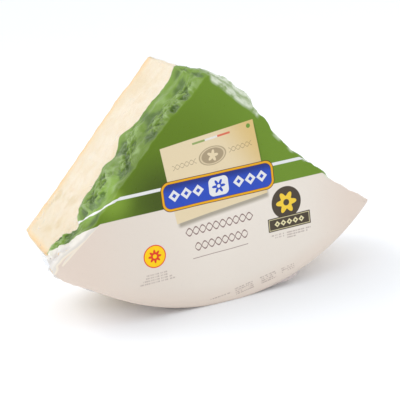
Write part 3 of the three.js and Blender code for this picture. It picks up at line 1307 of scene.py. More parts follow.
@dataclass
class PrintLayout:
    """Lays the print over the front face in film places, all turned a little with the film.

    Each method paints over the colour so far. A span gives the two places, distances or
    heights between which one field of colour goes over to the next.
    """

    nodes: Nodes
    shapes: PrintShapes
    page: Socket
    inks: PrintColours = field(default_factory=PrintColours)
    apex: Place = (0.0, 211.0)
    deep_centre: Place = (-52.0, 108.0)
    mid_green: Span = (6.0, 52.0)
    light_green: Span = (50.0, 120.0)
    bright_centre: Place = (-97.0, 117.0)
    bright_reaches: Span = (14.0, 24.0)
    bright_core: float = 3.0
    bright_share: float = 0.55
    # Spans and shares of the cream's painted shade: pink along the rind's rounded edge and towards both
    # corners, darker on the left.
    rim_painted_shade: Span = (188.0, 208.0)
    rim_painted_shade_share: float = 0.5
    sides_painted_shade: Span = (78.0, 138.0)
    sides_painted_shade_share: float = 0.75
    left_painted_shade: Span = (0.0, -90.0)
    green_low: float = 99.7
    green_edge: float = 0.3
    stripe_low: float = 116.3
    stripe_high: float = 119.1
    stripe_edge: float = 0.25
    fold_start: Place = (-131.5, 85.2)
    fold_turn: float = 37.4
    fold_end: Span = (27.0, 20.0)
    fold_edge: Span = (-0.4, 0.6)
    # Width and strength of the painted highlight along the fold.
    fold_highlight: Span = (1.1, 0.3)
    fold_highlight_share: float = 0.8
    tag_turn: float = 6.0
    tag_centre: Place = (-1.9, 122.9)
    tag_warmth: Span = (14.0, 56.0)
    tag_slant: float = 0.4
    oval_centre: Place = (-2.5, 137.5)
    oval_squeeze: tuple[float, float, float] = (0.62, 1.0, 1.0)
    sepia_share: float = 0.75
    panel_centre: Place = (0.0, 109.4)
    panel_deep: Span = (2.0, 10.0)
    braid_turn: float = 1.5
    braid_share: float = 0.85
    badge_centre: Place = (64.0, 80.2)
    seal_centre: Place = (-67.4, 60.3)
    grey_share: float = 0.55
    break_shift: float = 0.37
    colour: Socket | None = None

    def _ink(self, mask: Socket, ink: Value) -> None:
        """Paints an ink over the colour so far, where the mask says."""
        self.colour = self.nodes.mix(mask, self.colour, ink)

    def _block(
        self,
        centre: Place,
        size: Place,
        ink: Value,
        turn: float = 0.0,
        corner: float = 0.4,
        soft: float = 0.25,
    ) -> None:
        """Paints a rounded rectangle of an ink.

        Args:
            centre: The rectangle's centre.
            size: Its width and height.
            ink: Its colour.
            turn: Its turn in degrees.
            corner: Its corner radius.
            soft: Half the width of its soft edge.
        """
        place = self.nodes.moved(self.page, centre, turn)
        half = (size[0] / 2, size[1] / 2, 0)
        self._ink(self.nodes.group(self.shapes.block, Place=place, Half=half, Corner=corner, Soft=soft), ink)

    def _disc(self, centre: Place, radius: float, ink: Colour) -> None:
        """Paints a disc of an ink."""
        place = self.nodes.moved(self.page, centre)
        self._ink(self.nodes.group(self.shapes.disc, Place=place, Radius=radius, Soft=self.shapes.soft), ink)

    def _rosette(self, centre: Place, ink: Colour, turn: float = 0.0, **sizes: float) -> None:
        """Paints a rosette of an ink, with its Radius, its number of Petals and their Wave."""
        place = self.nodes.moved(self.page, centre, turn)
        self._ink(self.nodes.group(self.shapes.rosette, Place=place, **sizes), ink)

    def _diamonds(self, centre: Place, ink: Colour, **sizes: float) -> None:
        """Paints a row of diamonds, with its Pitch, their Radius and Hole, and Half its length."""
        place = self.nodes.moved(self.page, centre)
        self._ink(self.nodes.group(self.shapes.row, Place=place, **sizes), ink)

    def _braid(self, centre: Place, ink: Colour, turn: float, share: float, **sizes: float) -> None:
        """Paints two waving lines that cross.

        Args:
            centre: The braid's centre.
            ink: Its colour.
            turn: Its turn in degrees.
            share: How strong the ink is.
            **sizes: The waves' Pitch, Height, Thick for half a line, and Half the length.
        """
        for phase in (0.0, math.pi):
            place = self.nodes.moved(self.page, centre, turn)
            line = self.nodes.group(self.shapes.wave, Place=place, Phase=phase, **sizes)
            self._ink(self.nodes.times(line, share), ink)

    def _lines(self, centre: Place, size: Place, pitch: float, turn: float = 0.0) -> None:
        """Paints a block of fine broken lines.

        Args:
            centre: The block's centre.
            size: Its width and height.
            pitch: Distance from line to line.
            turn: Its turn in degrees.
        """
        place = self.nodes.moved(self.page, centre, turn)
        half = (size[0] / 2, size[1] / 2, 0)
        shift = centre[0] * self.break_shift
        mask = self.nodes.group(self.shapes.fine_lines, Place=place, Half=half, Pitch=pitch, Shift=shift)
        self._ink(self.nodes.times(mask, self.grey_share), self.inks.grey_line)

    def _away(self, centre: Place) -> Socket:
        """The distance of each place of the page from a centre."""
        return self.nodes.measure("DISTANCE", self.page, (*centre, 0))

    def cream(self) -> None:
        """Lays cream all over, with painted shade that makes it pinker along the rind and towards both
        corners, and darker on the left.
        """
        nodes, inks = self.nodes, self.inks
        across, _, _ = nodes.split(self.page)
        # Masks of the pink painted shade along the rind and towards the corners; the cream also darkens to
        # the left as painted shade.
        rim = nodes.times(nodes.rise(self._away(self.apex), *self.rim_painted_shade), self.rim_painted_shade_share)
        sides = nodes.times(nodes.rise(nodes.size(across), *self.sides_painted_shade), self.sides_painted_shade_share)
        self.colour = nodes.mix(nodes.rise(across, *self.left_painted_shade), inks.cream, inks.cream_left_painted_shade)
        self._ink(nodes.math("MAXIMUM", rim, sides), inks.pink_painted_shade)

    def corner_fold(self) -> None:
        """Paints the paler film beyond the fold by the left rind corner, with a painted highlight along the
        fold on top.
        """
        nodes = self.nodes
        along, beyond, _ = nodes.split(nodes.moved(self.page, self.fold_start, self.fold_turn))
        here = nodes.rise(along, *self.fold_end)
        self._ink(nodes.times(nodes.rise(beyond, *self.fold_edge), here), self.inks.folded_cream)
        # A painted highlight along the fold.
        line = nodes.times(nodes.rise(nodes.size(beyond), *self.fold_highlight), here, self.fold_highlight_share)
        self._ink(line, self.inks.fold_highlight)

    def green(self) -> None:
        """Lays the green above: deep in its middle, lighter outwards, with a bright spot at the left.

        The spot is wider below the white stripe that crosses the green.
        """
        nodes, inks = self.nodes, self.inks
        _, height, _ = nodes.split(self.page)
        away = self._away(self.deep_centre)
        green = nodes.mix(nodes.rise(away, *self.mid_green), inks.green_deep, inks.green_mid)
        green = nodes.mix(nodes.rise(away, *self.light_green), green, inks.green_light)
        below = nodes.rise(height, self.stripe_high, self.stripe_low)
        reach = nodes.blend(below, *self.bright_reaches)
        bright = nodes.rise(self._away(self.bright_centre), reach, self.bright_core)
        green = nodes.mix(nodes.times(bright, self.bright_share), green, inks.green_bright)
        self._ink(nodes.step(height, self.green_low, self.green_edge), green)
        above = nodes.step(height, self.stripe_low, self.stripe_edge)
        below = nodes.step(height, self.stripe_high, -self.stripe_edge)
        self._ink(nodes.times(above, below), inks.white)

    def tag(self) -> None:
        """Paints the parchment card with its shade, a three-colour ribbon and a hole mark."""
        inks, nodes, turn = self.inks, self.nodes, self.tag_turn
        shadow = nodes.vector("MULTIPLY", self.colour, inks.shade[:3])
        self._block((-0.6, 119.2), (89, 69), shadow, turn=turn, soft=2.2, corner=2.0)
        across, along, _ = nodes.split(nodes.moved(self.page, self.tag_centre, turn))
        warm = nodes.rise(nodes.plus(across, nodes.times(along, self.tag_slant)), *self.tag_warmth)
        sheet = nodes.mix(warm, inks.parchment, inks.parchment_deep)
        self._block(self.tag_centre, (90, 69), sheet, turn=turn)
        for step, ink in enumerate((inks.ribbon_green, inks.white, inks.ribbon_red)):
            self._block((-14.0 + 12.0 * step, 151.6 + 1.26 * step), (12, 1.7), ink, turn=turn, corner=0.1)
        self._disc((34.2, 157.0), 2.0, inks.ribbon_green)

    def medallion(self) -> None:
        """Paints a sepia oval with a rosette in it, between two thin braids."""
        inks, nodes, turn = self.inks, self.nodes, self.tag_turn
        oval = nodes.vector("MULTIPLY", nodes.moved(self.page, self.oval_centre, turn), self.oval_squeeze)
        for radius, ink in ((8.2, inks.sepia), (7.5, inks.parchment), (6.6, inks.sepia)):
            mask = nodes.group(self.shapes.disc, Place=oval, Radius=radius, Soft=self.shapes.soft)
            self._ink(nodes.times(mask, self.sepia_share), ink)
        self._rosette(self.oval_centre, inks.parchment, turn, Radius=4.0, Petals=5.0, Wave=1.4)
        waves = {"Pitch": 9.0, "Height": 2.0, "Thick": 0.24, "Half": 11.5}
        for side in Side:
            centre = (self.oval_centre[0] + 27.0 * side.value, self.oval_centre[1] + 2.8 * side.value)
            self._braid(centre, inks.sepia_dark, turn, self.sepia_share, **waves)

    def panel(self) -> None:
        """Paints the blue panel in its gold frame: a white badge between rows of diamonds."""
        inks, nodes, centre = self.inks, self.nodes, self.panel_centre
        self._block(centre, (109, 27), inks.panel_line, corner=8.0)
        self._block(centre, (107.8, 25.8), inks.gold, corner=7.5)
        self._block(centre, (104.2, 22.2), inks.panel_line, corner=6.2)
        _, height, _ = nodes.split(nodes.moved(self.page, centre))
        fill = nodes.mix(nodes.rise(height, *self.panel_deep), inks.blue, inks.blue_deep)
        self._block(centre, (103.4, 21.4), fill, corner=5.8)
        row = {"Pitch": 11.4, "Radius": 5.4, "Hole": 2.2, "Half": 17.1}
        for side in Side:
            self._diamonds((centre[0] + 31.0 * side.value, centre[1]), inks.white, **row)
        self._block(centre, (19, 17), inks.white, corner=4.5)
        self._rosette(centre, inks.blue, Radius=4.6, Petals=6.0, Wave=1.9)
        self._disc(centre, 1.6, inks.white)

    def braids(self) -> None:
        """Paints two braids of maroon line with a thin rule below."""
        maroon, turn = self.inks.maroon, self.braid_turn
        waves = {"Pitch": 13.0, "Height": 3.4, "Thick": 0.62}
        for centre, half in (((-3.5, 75.0), 33.0), ((-3.0, 60.0), 26.0)):
            self._braid(centre, maroon, turn, self.braid_share, Half=half, **waves)
        self._block((-5.0, 50.0), (54, 0.5), maroon, turn=turn, corner=0.1, soft=0.3)

    def seal(self) -> None:
        """Paints a yellow seal with a red rim and a red flower, over rows of fine line."""
        inks, centre = self.inks, self.seal_centre
        self._disc(centre, 10.4, inks.seal_red)
        self._disc(centre, 9.5, inks.seal_yellow)
        self._rosette(centre, inks.seal_red, Radius=4.9, Petals=8.0, Wave=1.3)
        self._disc(centre, 1.9, inks.seal_yellow)
        for step, width in enumerate((20.0, 22.0, 28.0, 35.0)):
            self._lines((centre[0], 44.2 - 2.4 * step), (width, 2.2), pitch=2.2)

    def badge(self) -> None:
        """Paints a dark round badge with a yellow flower, and a dark plate with a row of diamonds."""
        inks, centre = self.inks, self.badge_centre
        self._disc(centre, 15.0, inks.badge)
        self._rosette(centre, inks.badge_yellow, Radius=8.2, Petals=6.0, Wave=2.2)
        self._disc(centre, 3.0, inks.badge)
        plate = (centre[0] + 1.4, centre[1] - 18.4)
        self._block(plate, (43.5, 12.6), inks.badge, corner=0.6)
        self._block(plate, (41.5, 10.6), inks.badge_line, corner=0.4)
        self._block(plate, (40.5, 9.6), inks.badge, corner=0.4)
        self._diamonds(plate, inks.badge_line, Pitch=6.2, Radius=2.9, Hole=1.1, Half=15.5)
        for step, width in enumerate((42.0, 34.0, 10.0)):
            self._lines((plate[0] + 0.6, 51.8 - 2.3 * step), (width, 2.1), pitch=2.1)

    def foot_lines(self) -> None:
        """Paints the blocks of fine lines along the rind."""
        self._lines((-10.5, 8.6), (21, 1.8), pitch=1.8, turn=4.6)
        blocks = (((13.5, 10.4), (19.0, 7.2)), ((38.5, 14.4), (17.0, 7.2)), ((59.0, 18.2), (14.0, 5.4)))
        for centre, size in blocks:
            self._lines(centre, size, pitch=1.8, turn=9.0)

    def laid(self) -> Socket:
        """Lays the whole print, from the fields of colour up.

        Returns:
            The colour.
        """
        fields = (self.cream, self.corner_fold, self.green)
        shapes = (self.tag, self.medallion, self.panel, self.braids, self.seal, self.badge, self.foot_lines)
        for paint_over in (*fields, *shapes):
            paint_over()
        return self.colour


@dataclass(frozen=True)
class PrintedFilm:
    """The bag's finish: glossy printed film that turns clear behind the print's edge.

    A span gives the two values of fold, noise or attribute between which an effect sets in.
    """

    roughness: float = 0.3
    roughness_swing: float = 0.08
    specular: float = 0.22
    coat: float = 0.36
    coat_roughness: float = 0.24
    bump_strength: float = 0.35
    bump_distance: float = 0.0004
    edge_soft: float = 0.35
    film: Colour = paint(250, 248, 244)
    clear_alpha: float = 0.07
    rim_alpha: float = 0.05
    rim_blend: float = 0.35
    wrinkle_alpha: float = 0.3
    wrinkle_line: Span = (0.012, 0.0)
    wrinkle_patches: Span = (0.45, 0.6)
    pale_print: Span = (0.1, 0.5)
    # Painted shade in the folds' hollows: what the print is multiplied by there, for dark and pale inks.
    hollow_painted_shade: Colour = (0.46, 0.53, 0.4, 1.0)
    pale_hollow_painted_shade: Colour = (0.84, 0.82, 0.8, 1.0)
    hollow_shade_fold: Span = (0.1, -0.9)
    # Painted highlight on the folds' ridges.
    ridge_painted_highlight: Colour = paint(166, 194, 128)
    ridge_highlight_fold: Span = (0.6, 1.6)
    ridge_highlight_share: float = 0.35
    pale_ridge_highlight_share: float = 0.3
    # Painted reflection: the film turns paler where it lifts off the paste, unevenly along it.
    lifted: Colour = paint(214, 222, 200)
    lifted_reflection_share: float = 0.95
    lifted_reflection_noise: Span = (0.26, 0.56)
    # Painted light: a lighter green where a smooth facet low on the left cut catches the light.
    painted_lit_facet: Colour = paint(148, 188, 74)
    painted_lit_facet_share: float = 0.42
    painted_lit_facet_centre: Place = (-115.5, 129.5)
    painted_lit_facet_turn: float = 44.2
    painted_lit_facet_shape: tuple[float, float, float] = (0.036, 0.07, 0.0)
    painted_lit_facet_edge: Span = (1.25, 0.6)
    painted_lit_facet_green: Span = (0.5, 0.1)
    gathered: Colour = paint(214, 209, 204)
    gathered_edge: Span = (0.3, 0.6)
    speck: Colour = paint(222, 184, 126)
    speck_noise: Span = (0.58, 0.68)
    print_middle: Place = (0.0, 110.0)
    print_turn: float = 1.15

    def _creased(self, nodes: Nodes, colour: Socket, place: Socket) -> Socket:
        """Lets the folds change the print.

        It darkens in their hollows with painted shade and lightens on their ridges with a painted
        highlight, and where the film lifts it turns paler with a painted reflection. A smooth facet
        low on the left cut is a lighter green, painted light. At the gathered corner the
        layers of film look white, with specks of cheese between them.

        Args:
            nodes: The material's nodes.
            colour: The print.
            place: The film place.

        Returns:
            The print as the folds show it.
        """
        fold = nodes.attribute("fold")
        pale = nodes.rise(nodes.split(colour)[2], *self.pale_print)
        # Painted light on a smooth facet low on the left cut, on green ink only.
        painted_lit_facet = nodes.moved(place, self.painted_lit_facet_centre, self.painted_lit_facet_turn)
        away = nodes.measure("LENGTH", nodes.vector("MULTIPLY", painted_lit_facet, self.painted_lit_facet_shape))
        on_painted_lit_facet = nodes.times(nodes.rise(away, *self.painted_lit_facet_edge), self.painted_lit_facet_share)
        colour = nodes.mix(nodes.times(on_painted_lit_facet, nodes.rise(pale, *self.painted_lit_facet_green)), colour, self.painted_lit_facet)
        # The print darkened by painted shade in the folds' hollows.
        deep = nodes.vector("MULTIPLY", colour, nodes.mix(pale, self.hollow_painted_shade, self.pale_hollow_painted_shade))
        colour = nodes.mix(nodes.rise(fold, *self.hollow_shade_fold), colour, deep)
        # A painted highlight on the folds' ridges, weaker on pale inks.
        ridge_highlight = nodes.times(nodes.rise(fold, *self.ridge_highlight_fold), self.ridge_highlight_share)
        ridge_highlight = nodes.times(ridge_highlight, nodes.blend(pale, 1.0, self.pale_ridge_highlight_share))
        colour = nodes.mix(ridge_highlight, colour, self.ridge_painted_highlight)
        # Painted reflection where the film lifts, uneven along it.
        uneven = nodes.rise(nodes.noise(place, scale=0.09, detail=4), *self.lifted_reflection_noise)
        lifted = nodes.times(nodes.attribute("lifted"), self.lifted_reflection_share)
        colour = nodes.mix(nodes.times(lifted, uneven, clamp=True), colour, self.lifted)
        specks = nodes.rise(nodes.noise(place, scale=0.22, detail=3), *self.speck_noise)
        layers = nodes.mix(specks, self.gathered, self.speck)
        return nodes.mix(nodes.rise(nodes.attribute("gathered"), *self.gathered_edge), colour, layers)

    def _wrinkles(self, nodes: Nodes, place: Socket) -> Socket:
        """How much fine wrinkles cloud the clear film: thin contours of noise, in patches.

        Args:
            nodes: The material's nodes.
            place: The film place.

        Returns:
            What the wrinkles add to the film's alpha.
        """
        off = nodes.size(nodes.less(nodes.noise(place, scale=0.035, detail=3), 0.5))
        patches = nodes.rise(nodes.noise(place, scale=0.02, detail=1), *self.wrinkle_patches)
        return nodes.times(nodes.rise(off, *self.wrinkle_line), patches, self.wrinkle_alpha)

    def make(self) -> bpy.types.Material:
        """Builds the material.

        Returns:
            The material.
        """
        fixed = {"Coat Roughness": self.coat_roughness, "Specular IOR Level": self.specular}
        material, nodes, shader = new_material("printed_film", fixed)
        place = nodes.attribute("film_place", "Vector")
        page = nodes.moved(place, self.print_middle, self.print_turn)
        page = nodes.vector("ADD", page, (*self.print_middle, 0))
        colour = self._creased(nodes, PrintLayout(nodes, PrintShapes.make(), page).laid(), place)
        printed = nodes.step(nodes.attribute("print_edge"), 0.0, self.edge_soft)
        nodes.feed(shader.inputs["Base Color"], nodes.mix(printed, self.film, colour))
        facing = nodes.add("ShaderNodeLayerWeight", {"Blend": self.rim_blend}).outputs["Facing"]
        clear = nodes.plus(nodes.times(facing, self.rim_alpha), self.clear_alpha)
        clear = nodes.plus(clear, self._wrinkles(nodes, place))
        nodes.feed(shader.inputs["Alpha"], nodes.blend(printed, clear, 1.0))
        fine = nodes.noise(place, scale=0.35, detail=4, roughness=0.55)
        smoothest, roughest = self.roughness - self.roughness_swing, self.roughness + self.roughness_swing
        nodes.feed(shader.inputs["Roughness"], nodes.blend(fine, smoothest, roughest))
        nodes.feed(shader.inputs["Coat Weight"], nodes.times(nodes.attribute("folded"), self.coat))
        nodes.bump(shader, fine, self.bump_strength, self.bump_distance)
        return material


@dataclass(frozen=True)
class CheeseFinish:
    """Parmesan: pale crumbly paste, golden towards the rind, with faint blotches and grains.

    A span gives the two values of noise, of way from the apex or of depth under the rind
    between which one colour goes over to the next.
    """

    paste: Colour = paint(222, 208, 184)
    paste_warm: Colour = paint(216, 196, 160)
    warm_patches: Span = (0.42, 0.7)
    warm_curds: Span = (0.4, 0.7)
    warm_curd_share: float = 0.7
    paste_low: Colour = paint(212, 194, 160)
    low_way: Span = (140.0, 205.0)
    low_share: float = 0.6
    blotch: Colour = paint(204, 180, 132)
    blotch_crumbs: Span = (0.5, 0.75)
    blotch_share: float = 0.4
    spot_noise: Span = (0.52, 0.66)
    spots_start: Span = (125.0, 165.0)
    spots_end: Span = (198.0, 188.0)
    spot_share: float = 0.75
    golden: Colour = paint(222, 194, 146)
    golden_edge: Span = (15.0, 6.0)
    under_rind: Colour = paint(222, 184, 124)
    under_rind_edge: Span = (8.5, 4.0)
    edge_swing: float = 9.0
    rind: Colour = paint(208, 188, 154)
    rind_deep: Colour = paint(196, 164, 116)
    rind_mottling: Span = (0.4, 0.68)
    rind_edge: Span = (2.2, 1.3)
    roughness: Span = (0.42, 0.62)
    grain_share: float = 0.25
    bump_strength: float = 0.5
    bump_distance: float = 0.0008
    subsurface: float = 0.15
    subsurface_radius: tuple[float, float, float] = (1.0, 0.6, 0.3)
    subsurface_scale: float = 0.003
    coat: float = 0.25
    coat_roughness: float = 0.2

    def _paste(self, nodes: Nodes, place: Socket, slow: Socket, crumb: Socket) -> Socket:
        """Colours the paste: warm patches and curds, warmer low down, with blotches and spots.

        Args:
            nodes: The material's nodes.
            place: The place on the piece.
            slow: Slow noise.
            crumb: The noise of the crumbs.

        Returns:
            The colour.
        """
        away = nodes.attribute("from_apex")
        curds = nodes.rise(nodes.noise(place, scale=85, detail=4, roughness=0.6), *self.warm_curds)
        colour = nodes.mix(nodes.rise(slow, *self.warm_patches), self.paste, self.paste_warm)
        colour = nodes.mix(nodes.times(curds, self.warm_curd_share), colour, self.paste_warm)
        low = nodes.times(nodes.rise(away, *self.low_way), self.low_share)
        colour = nodes.mix(low, colour, self.paste_low)
        blotches = nodes.times(nodes.rise(crumb, *self.blotch_crumbs), self.blotch_share)
        colour = nodes.mix(blotches, colour, self.blotch)
        zone = nodes.times(nodes.rise(away, *self.spots_start), nodes.rise(away, *self.spots_end))
        spots = nodes.rise(nodes.noise(place, scale=48, detail=2), *self.spot_noise)
        return nodes.mix(nodes.times(spots, zone, self.spot_share), colour, self.blotch)

    def make(self) -> bpy.types.Material:
        """Builds the material.

        Returns:
            The material.
        """
        fixed = {
            "Subsurface Weight": self.subsurface,
            "Subsurface Radius": self.subsurface_radius,
            "Subsurface Scale": self.subsurface_scale,
            "Coat Weight": self.coat,
            "Coat Roughness": self.coat_roughness,
        }
        material, nodes, shader = new_material("parmesan", fixed)
        place = nodes.add("ShaderNodeTexCoord").outputs["Object"]
        under = nodes.attribute("under_rind")
        slow = nodes.noise(place, scale=22, detail=3)
        crumb = nodes.noise(place, scale=260, detail=5, roughness=0.65)
        grain = nodes.noise(place, scale=900, detail=2)
        colour = self._paste(nodes, place, slow, crumb)
        edge = nodes.plus(under, nodes.times(nodes.less(slow, 0.5), self.edge_swing))
        colour = nodes.mix(nodes.rise(edge, *self.golden_edge), colour, self.golden)
        colour = nodes.mix(nodes.rise(edge, *self.under_rind_edge), colour, self.under_rind)
        mottled = nodes.rise(nodes.noise(place, scale=34, detail=5, roughness=0.6), *self.rind_mottling)
        rind = nodes.mix(mottled, self.rind, self.rind_deep)
        nodes.feed(shader.inputs["Base Color"], nodes.mix(nodes.rise(under, *self.rind_edge), colour, rind))
        nodes.feed(shader.inputs["Roughness"], nodes.blend(crumb, *self.roughness))
        height = nodes.plus(crumb, nodes.times(grain, self.grain_share))
        nodes.bump(shader, height, self.bump_strength, self.bump_distance)
        return material


@dataclass
class Cheese:
    """The wedge of cheese inside the bag."""

    builder: SkinBuilder
    offset: np.ndarray
    gap: float = 0.8
    hidden_gap: float = 3.2
    round_side_scale: float = 1.7
    finish: CheeseFinish = field(default_factory=CheeseFinish)

    def build(self) -> bpy.types.Object:
        """Builds the closed cheese, with how deep each point lies under the rind.

        Depth under the round side counts for more, because the golden zone is thinner there.

        Returns:
            The cheese.
        """
        form = self.builder.form
        skin = self.builder.build(gap=self.gap, folded=False, hidden_gap=self.hidden_gap)
        made = closed_mesh("cheese", skin.rings, skin.front_pole, skin.back_pole, self.offset)
        across, depth, height = np.moveaxis(skin.rings, -1, 0)
        away = np.hypot(across, height - form.wheel_radius)
        turn = np.arctan2(across, form.wheel_radius - height) / form.half_angle
        radius = form.rind_radius(depth / form.depth, np.clip(turn, -1, 1))
        round_side = (radius - away - self.gap) * self.round_side_scale
        under = np.minimum(round_side, form.depth - depth - self.gap) * (1 - skin.rind)
        middle = form.face_centre_height
        add_float(made.data, "under_rind", per_point(under, middle, 0.0))
        add_float(made.data, "from_apex", per_point(away, middle, middle))
        return made

    def dress(self, made: bpy.types.Object) -> None:
        """Gives the cheese its finish and its body."""
        settle(made, self.finish.make())


@dataclass
class FilmBag:
    """The close film bag with its print."""

    builder: SkinBuilder
    offset: np.ndarray
    finish: PrintedFilm = field(default_factory=PrintedFilm)

    def build(self) -> bpy.types.Object:
        """Builds the closed film skin with what its finish reads.

        Returns:
            The bag, with its film places, print edge, gathering, folds and lifted film.
        """
        skin = self.builder.build(gap=0.0, folded=True)
        made = closed_mesh("film_bag", skin.rings, skin.front_pole, skin.back_pole, self.offset)
        middle = (0.0, self.builder.form.face_centre_height)
        places = np.concatenate([[middle], skin.film_place.reshape(-1, 2), [middle]])
        add_place(made.data, "film_place", np.pad(places, ((0, 0), (0, 1))))
        reach = self.builder.form.depth
        add_float(made.data, "print_edge", per_point(skin.printed, reach, -reach))
        marks = {"gathered": skin.gathered, "folded": skin.folded, "fold": skin.fold, "lifted": skin.lifted}
        for name, values in marks.items():
            add_float(made.data, name, per_point(values, 0.0, 0.0))
        return made

    def dress(self, made: bpy.types.Object) -> None:
        """Gives the bag its finish and its body."""
        settle(made, self.finish.make())


@dataclass(frozen=True)
class LooseFilm:
    """Loose film that stands off by itself: a milky tint, and creases that cloud it."""

    tint: Colour = paint(226, 228, 232)
    thin: float = 0.3
    cloudy: float = 0.75
    clouds: Span = (0.35, 0.7)
    roughness: float = 0.25
    bump_strength: float = 0.6
    bump_distance: float = 0.0006

    def make(self, name: str) -> bpy.types.Material:
        """Builds the material.

        Args:
            name: Name of the material.

        Returns:
            The material.
        """
        material, nodes, shader = new_material(name, {"Base Color": self.tint, "Roughness": self.roughness})
        place = nodes.add("ShaderNodeTexCoord").outputs["Object"]
        clouds = nodes.rise(nodes.noise(place, scale=330, detail=3), *self.clouds)
        nodes.feed(shader.inputs["Alpha"], nodes.blend(clouds, self.thin, self.cloudy))
        nodes.bump(shader, clouds, self.bump_strength, self.bump_distance)
        return material


@dataclass
class FilmFlap:
    """A thin flap of the bag that stands off the rind.

    Its root runs over the rind between two angles from straight down and two depths, and its
    height rises and falls over two shares of the way.
    """

    form: WedgeForm
    offset: np.ndarray
    name: str
    angles: Span
    depths: Span
    peak: float
    rise: float
    fall: float
    finish: LooseFilm
    root: float = 2.0
    thickness: float = 0.3
    ripple: float = 0.6
    ripples: float = 5.0
    unevenness: float = 0.25
    uneven_knots: float = 9
    uneven: Lattice = Lattice(seed=31)
    steps: int = 72
    rows: int = 9

    def build(self) -> bpy.types.Object:
        """Builds the flap.

        A point lies a radius from the wheel's axis: the wheel's radius less the root, plus a
        share of root and height. Both sides stand half a thickness off the middle surface,
        which ripples more towards the rim.

        Returns:
            The closed flap.
        """
        along = np.linspace(0, 1, self.steps)[:, None]
        up = np.linspace(0, 1, self.rows)[None]
        angle = np.radians(lerp(*self.angles, along))
        depth = lerp(*self.depths, along) + 0 * up
        height = self.peak * smoothstep(along, 0, self.rise) * (1 - smoothstep(along, 1 - self.fall, 1))
        uneven = self.uneven.height(along * self.uneven_knots, 0 * along, 1.0)
        height = height * (1 + self.unevenness * uneven)
        radius = self.form.wheel_radius - self.root + (height + self.root) * up
        x, z = radius * np.sin(angle), self.form.wheel_radius - radius * np.cos(angle)
        middle = np.stack([x, depth, z], axis=-1)
        outward = middle[:, -1:] - middle[:, :1]
        normal = np.cross(np.gradient(middle, axis=0), outward)
        normal = normal / np.linalg.norm(normal, axis=-1, keepdims=True)
        wave = self.ripple * np.sin(2 * math.pi * self.ripples * along + self.peak) * up**2
        middle = middle + normal * wave[..., None]
        half = normal * self.thickness / 2
        rings = np.concatenate([middle + half, (middle - half)[:, ::-1]], axis=1)
        return closed_mesh(self.name, rings, rings[0].mean(axis=0), rings[-1].mean(axis=0), self.offset)

    def dress(self, made: bpy.types.Object) -> None:
        """Gives the flap its finish and its body."""
        settle(made, self.finish.make(self.name))


@dataclass
class FilmFlaps:
    """The three flaps: under the left front edge, round the left corner, and low on the right."""

    form: WedgeForm
    offset: np.ndarray
    milky: LooseFilm = field(default_factory=LooseFilm)
    folded: LooseFilm = LooseFilm(tint=paint(222, 210, 206), thin=0.8, cloudy=0.95)

    def makers(self) -> list[FilmFlap]:
        """Lists the flaps: angles, depths, peak, rise and fall of each, and its finish."""
        shapes = (
            ("left_edge_flap", (-45.5, -32), (4, 7), 2.2, 0.1, 0.5, self.milky),
            ("left_corner_flap", (-45.8, -46.2), (2, 62), 5.0, 0.12, 0.7, self.milky),
            ("right_fold", (9, 20.5), (5, 5), 3.0, 0.85, 0.06, self.folded),
        )
        return [FilmFlap(self.form, self.offset, *shape) for shape in shapes]


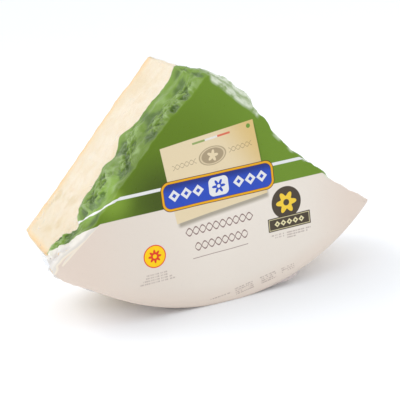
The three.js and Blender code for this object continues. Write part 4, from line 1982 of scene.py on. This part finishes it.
@dataclass(frozen=True)
class Studio:
    """Camera, a soft light and a plain white floor.

    Places, distance and sizes are in metres, and lens and sensor in millimetres.
    """

    azimuth: float = math.radians(22.14)
    elevation: float = math.radians(15.21)
    roll: float = math.radians(-5.82)
    distance: float = 1.0309
    lens: float = 99.15
    sensor: float = 36.0
    target: tuple[float, float, float] = (0.00925, 0.0, 0.0806)
    floor_size: float = 12.0
    floor_colour: Colour = (0.955, 0.97, 1.0, 1.0)
    floor_roughness: float = 0.8
    world_colour: Colour = (0.97, 0.985, 1.0, 1)
    world_strength: float = 1.05
    key_place: tuple[float, float, float] = (-0.9, 0.55, 1.2)
    key_power: float = 7.5
    key_size: float = 0.9

    def camera(self) -> None:
        """Places the camera at its azimuth, elevation and roll round the target."""
        sine, cosine = math.sin(self.azimuth), math.cos(self.azimuth)
        level = math.cos(self.elevation)
        back = Vector((-sine * level, -cosine * level, math.sin(self.elevation)))
        right = Vector((cosine, -sine, 0))
        up = back.cross(right)
        turned_right = right * math.cos(self.roll) + up * math.sin(self.roll)
        turned_up = up * math.cos(self.roll) - right * math.sin(self.roll)
        data = bpy.data.cameras.new("camera")
        data.lens = self.lens
        data.sensor_width = self.sensor
        camera = put_in_scene("camera", data)
        place = Vector(self.target) + back * self.distance
        axes = Matrix((turned_right, turned_up, back)).transposed().to_4x4()
        camera.matrix_world = Matrix.Translation(place) @ axes
        bpy.context.scene.camera = camera

    def floor(self) -> None:
        """Lays the floor."""
        half = self.floor_size / 2
        mesh = bpy.data.meshes.new("floor")
        corners = [(-half, -half, 0), (half, -half, 0), (half, half, 0), (-half, half, 0)]
        mesh.from_pydata(corners, [], [(0, 1, 2, 3)])
        fixed = {"Base Color": self.floor_colour, "Roughness": self.floor_roughness}
        material, _, _ = new_material("white_floor", fixed)
        mesh.materials.append(material)
        put_in_scene("floor", mesh)

    def world(self) -> None:
        """Lights the room evenly."""
        world = bpy.data.worlds.new("world")
        world.use_nodes = True
        background = world.node_tree.nodes["Background"]
        background.inputs["Color"].default_value = self.world_colour
        background.inputs["Strength"].default_value = self.world_strength
        bpy.context.scene.world = world

    def key_light(self) -> None:
        """Adds the square area light above and behind on the left, facing the wedge."""
        data = bpy.data.lights.new("key", "AREA")
        data.energy = self.key_power
        data.size = self.key_size
        light = put_in_scene("key", data)
        light.location = self.key_place
        aim = Vector(self.target) - Vector(self.key_place)
        light.rotation_euler = aim.to_track_quat("-Z", "Y").to_euler()

    def build(self) -> None:
        """Sets up the camera, the floor, the world and the light."""
        self.camera()
        self.floor()
        self.world()
        bpy.context.scene.view_settings.view_transform = "Standard"
        self.key_light()


def main() -> None:
    """Builds the studio, the cheese, its bag and the bag's flaps, and logs how many faces each has."""
    logging.basicConfig(level=logging.INFO, format="%(message)s")
    Studio().build()
    builder = SkinBuilder(WedgeForm(), FilmCreases(), PrintEdge())
    offset = offset_onto_frame(builder)
    flaps = FilmFlaps(builder.form, offset).makers()
    for maker in (Cheese(builder, offset), FilmBag(builder, offset), *flaps):
        made = maker.build()
        maker.dress(made)
        LOG.info("%s: %d faces", made.name, len(made.data.polygons))


if __name__ == "__main__":
    main()
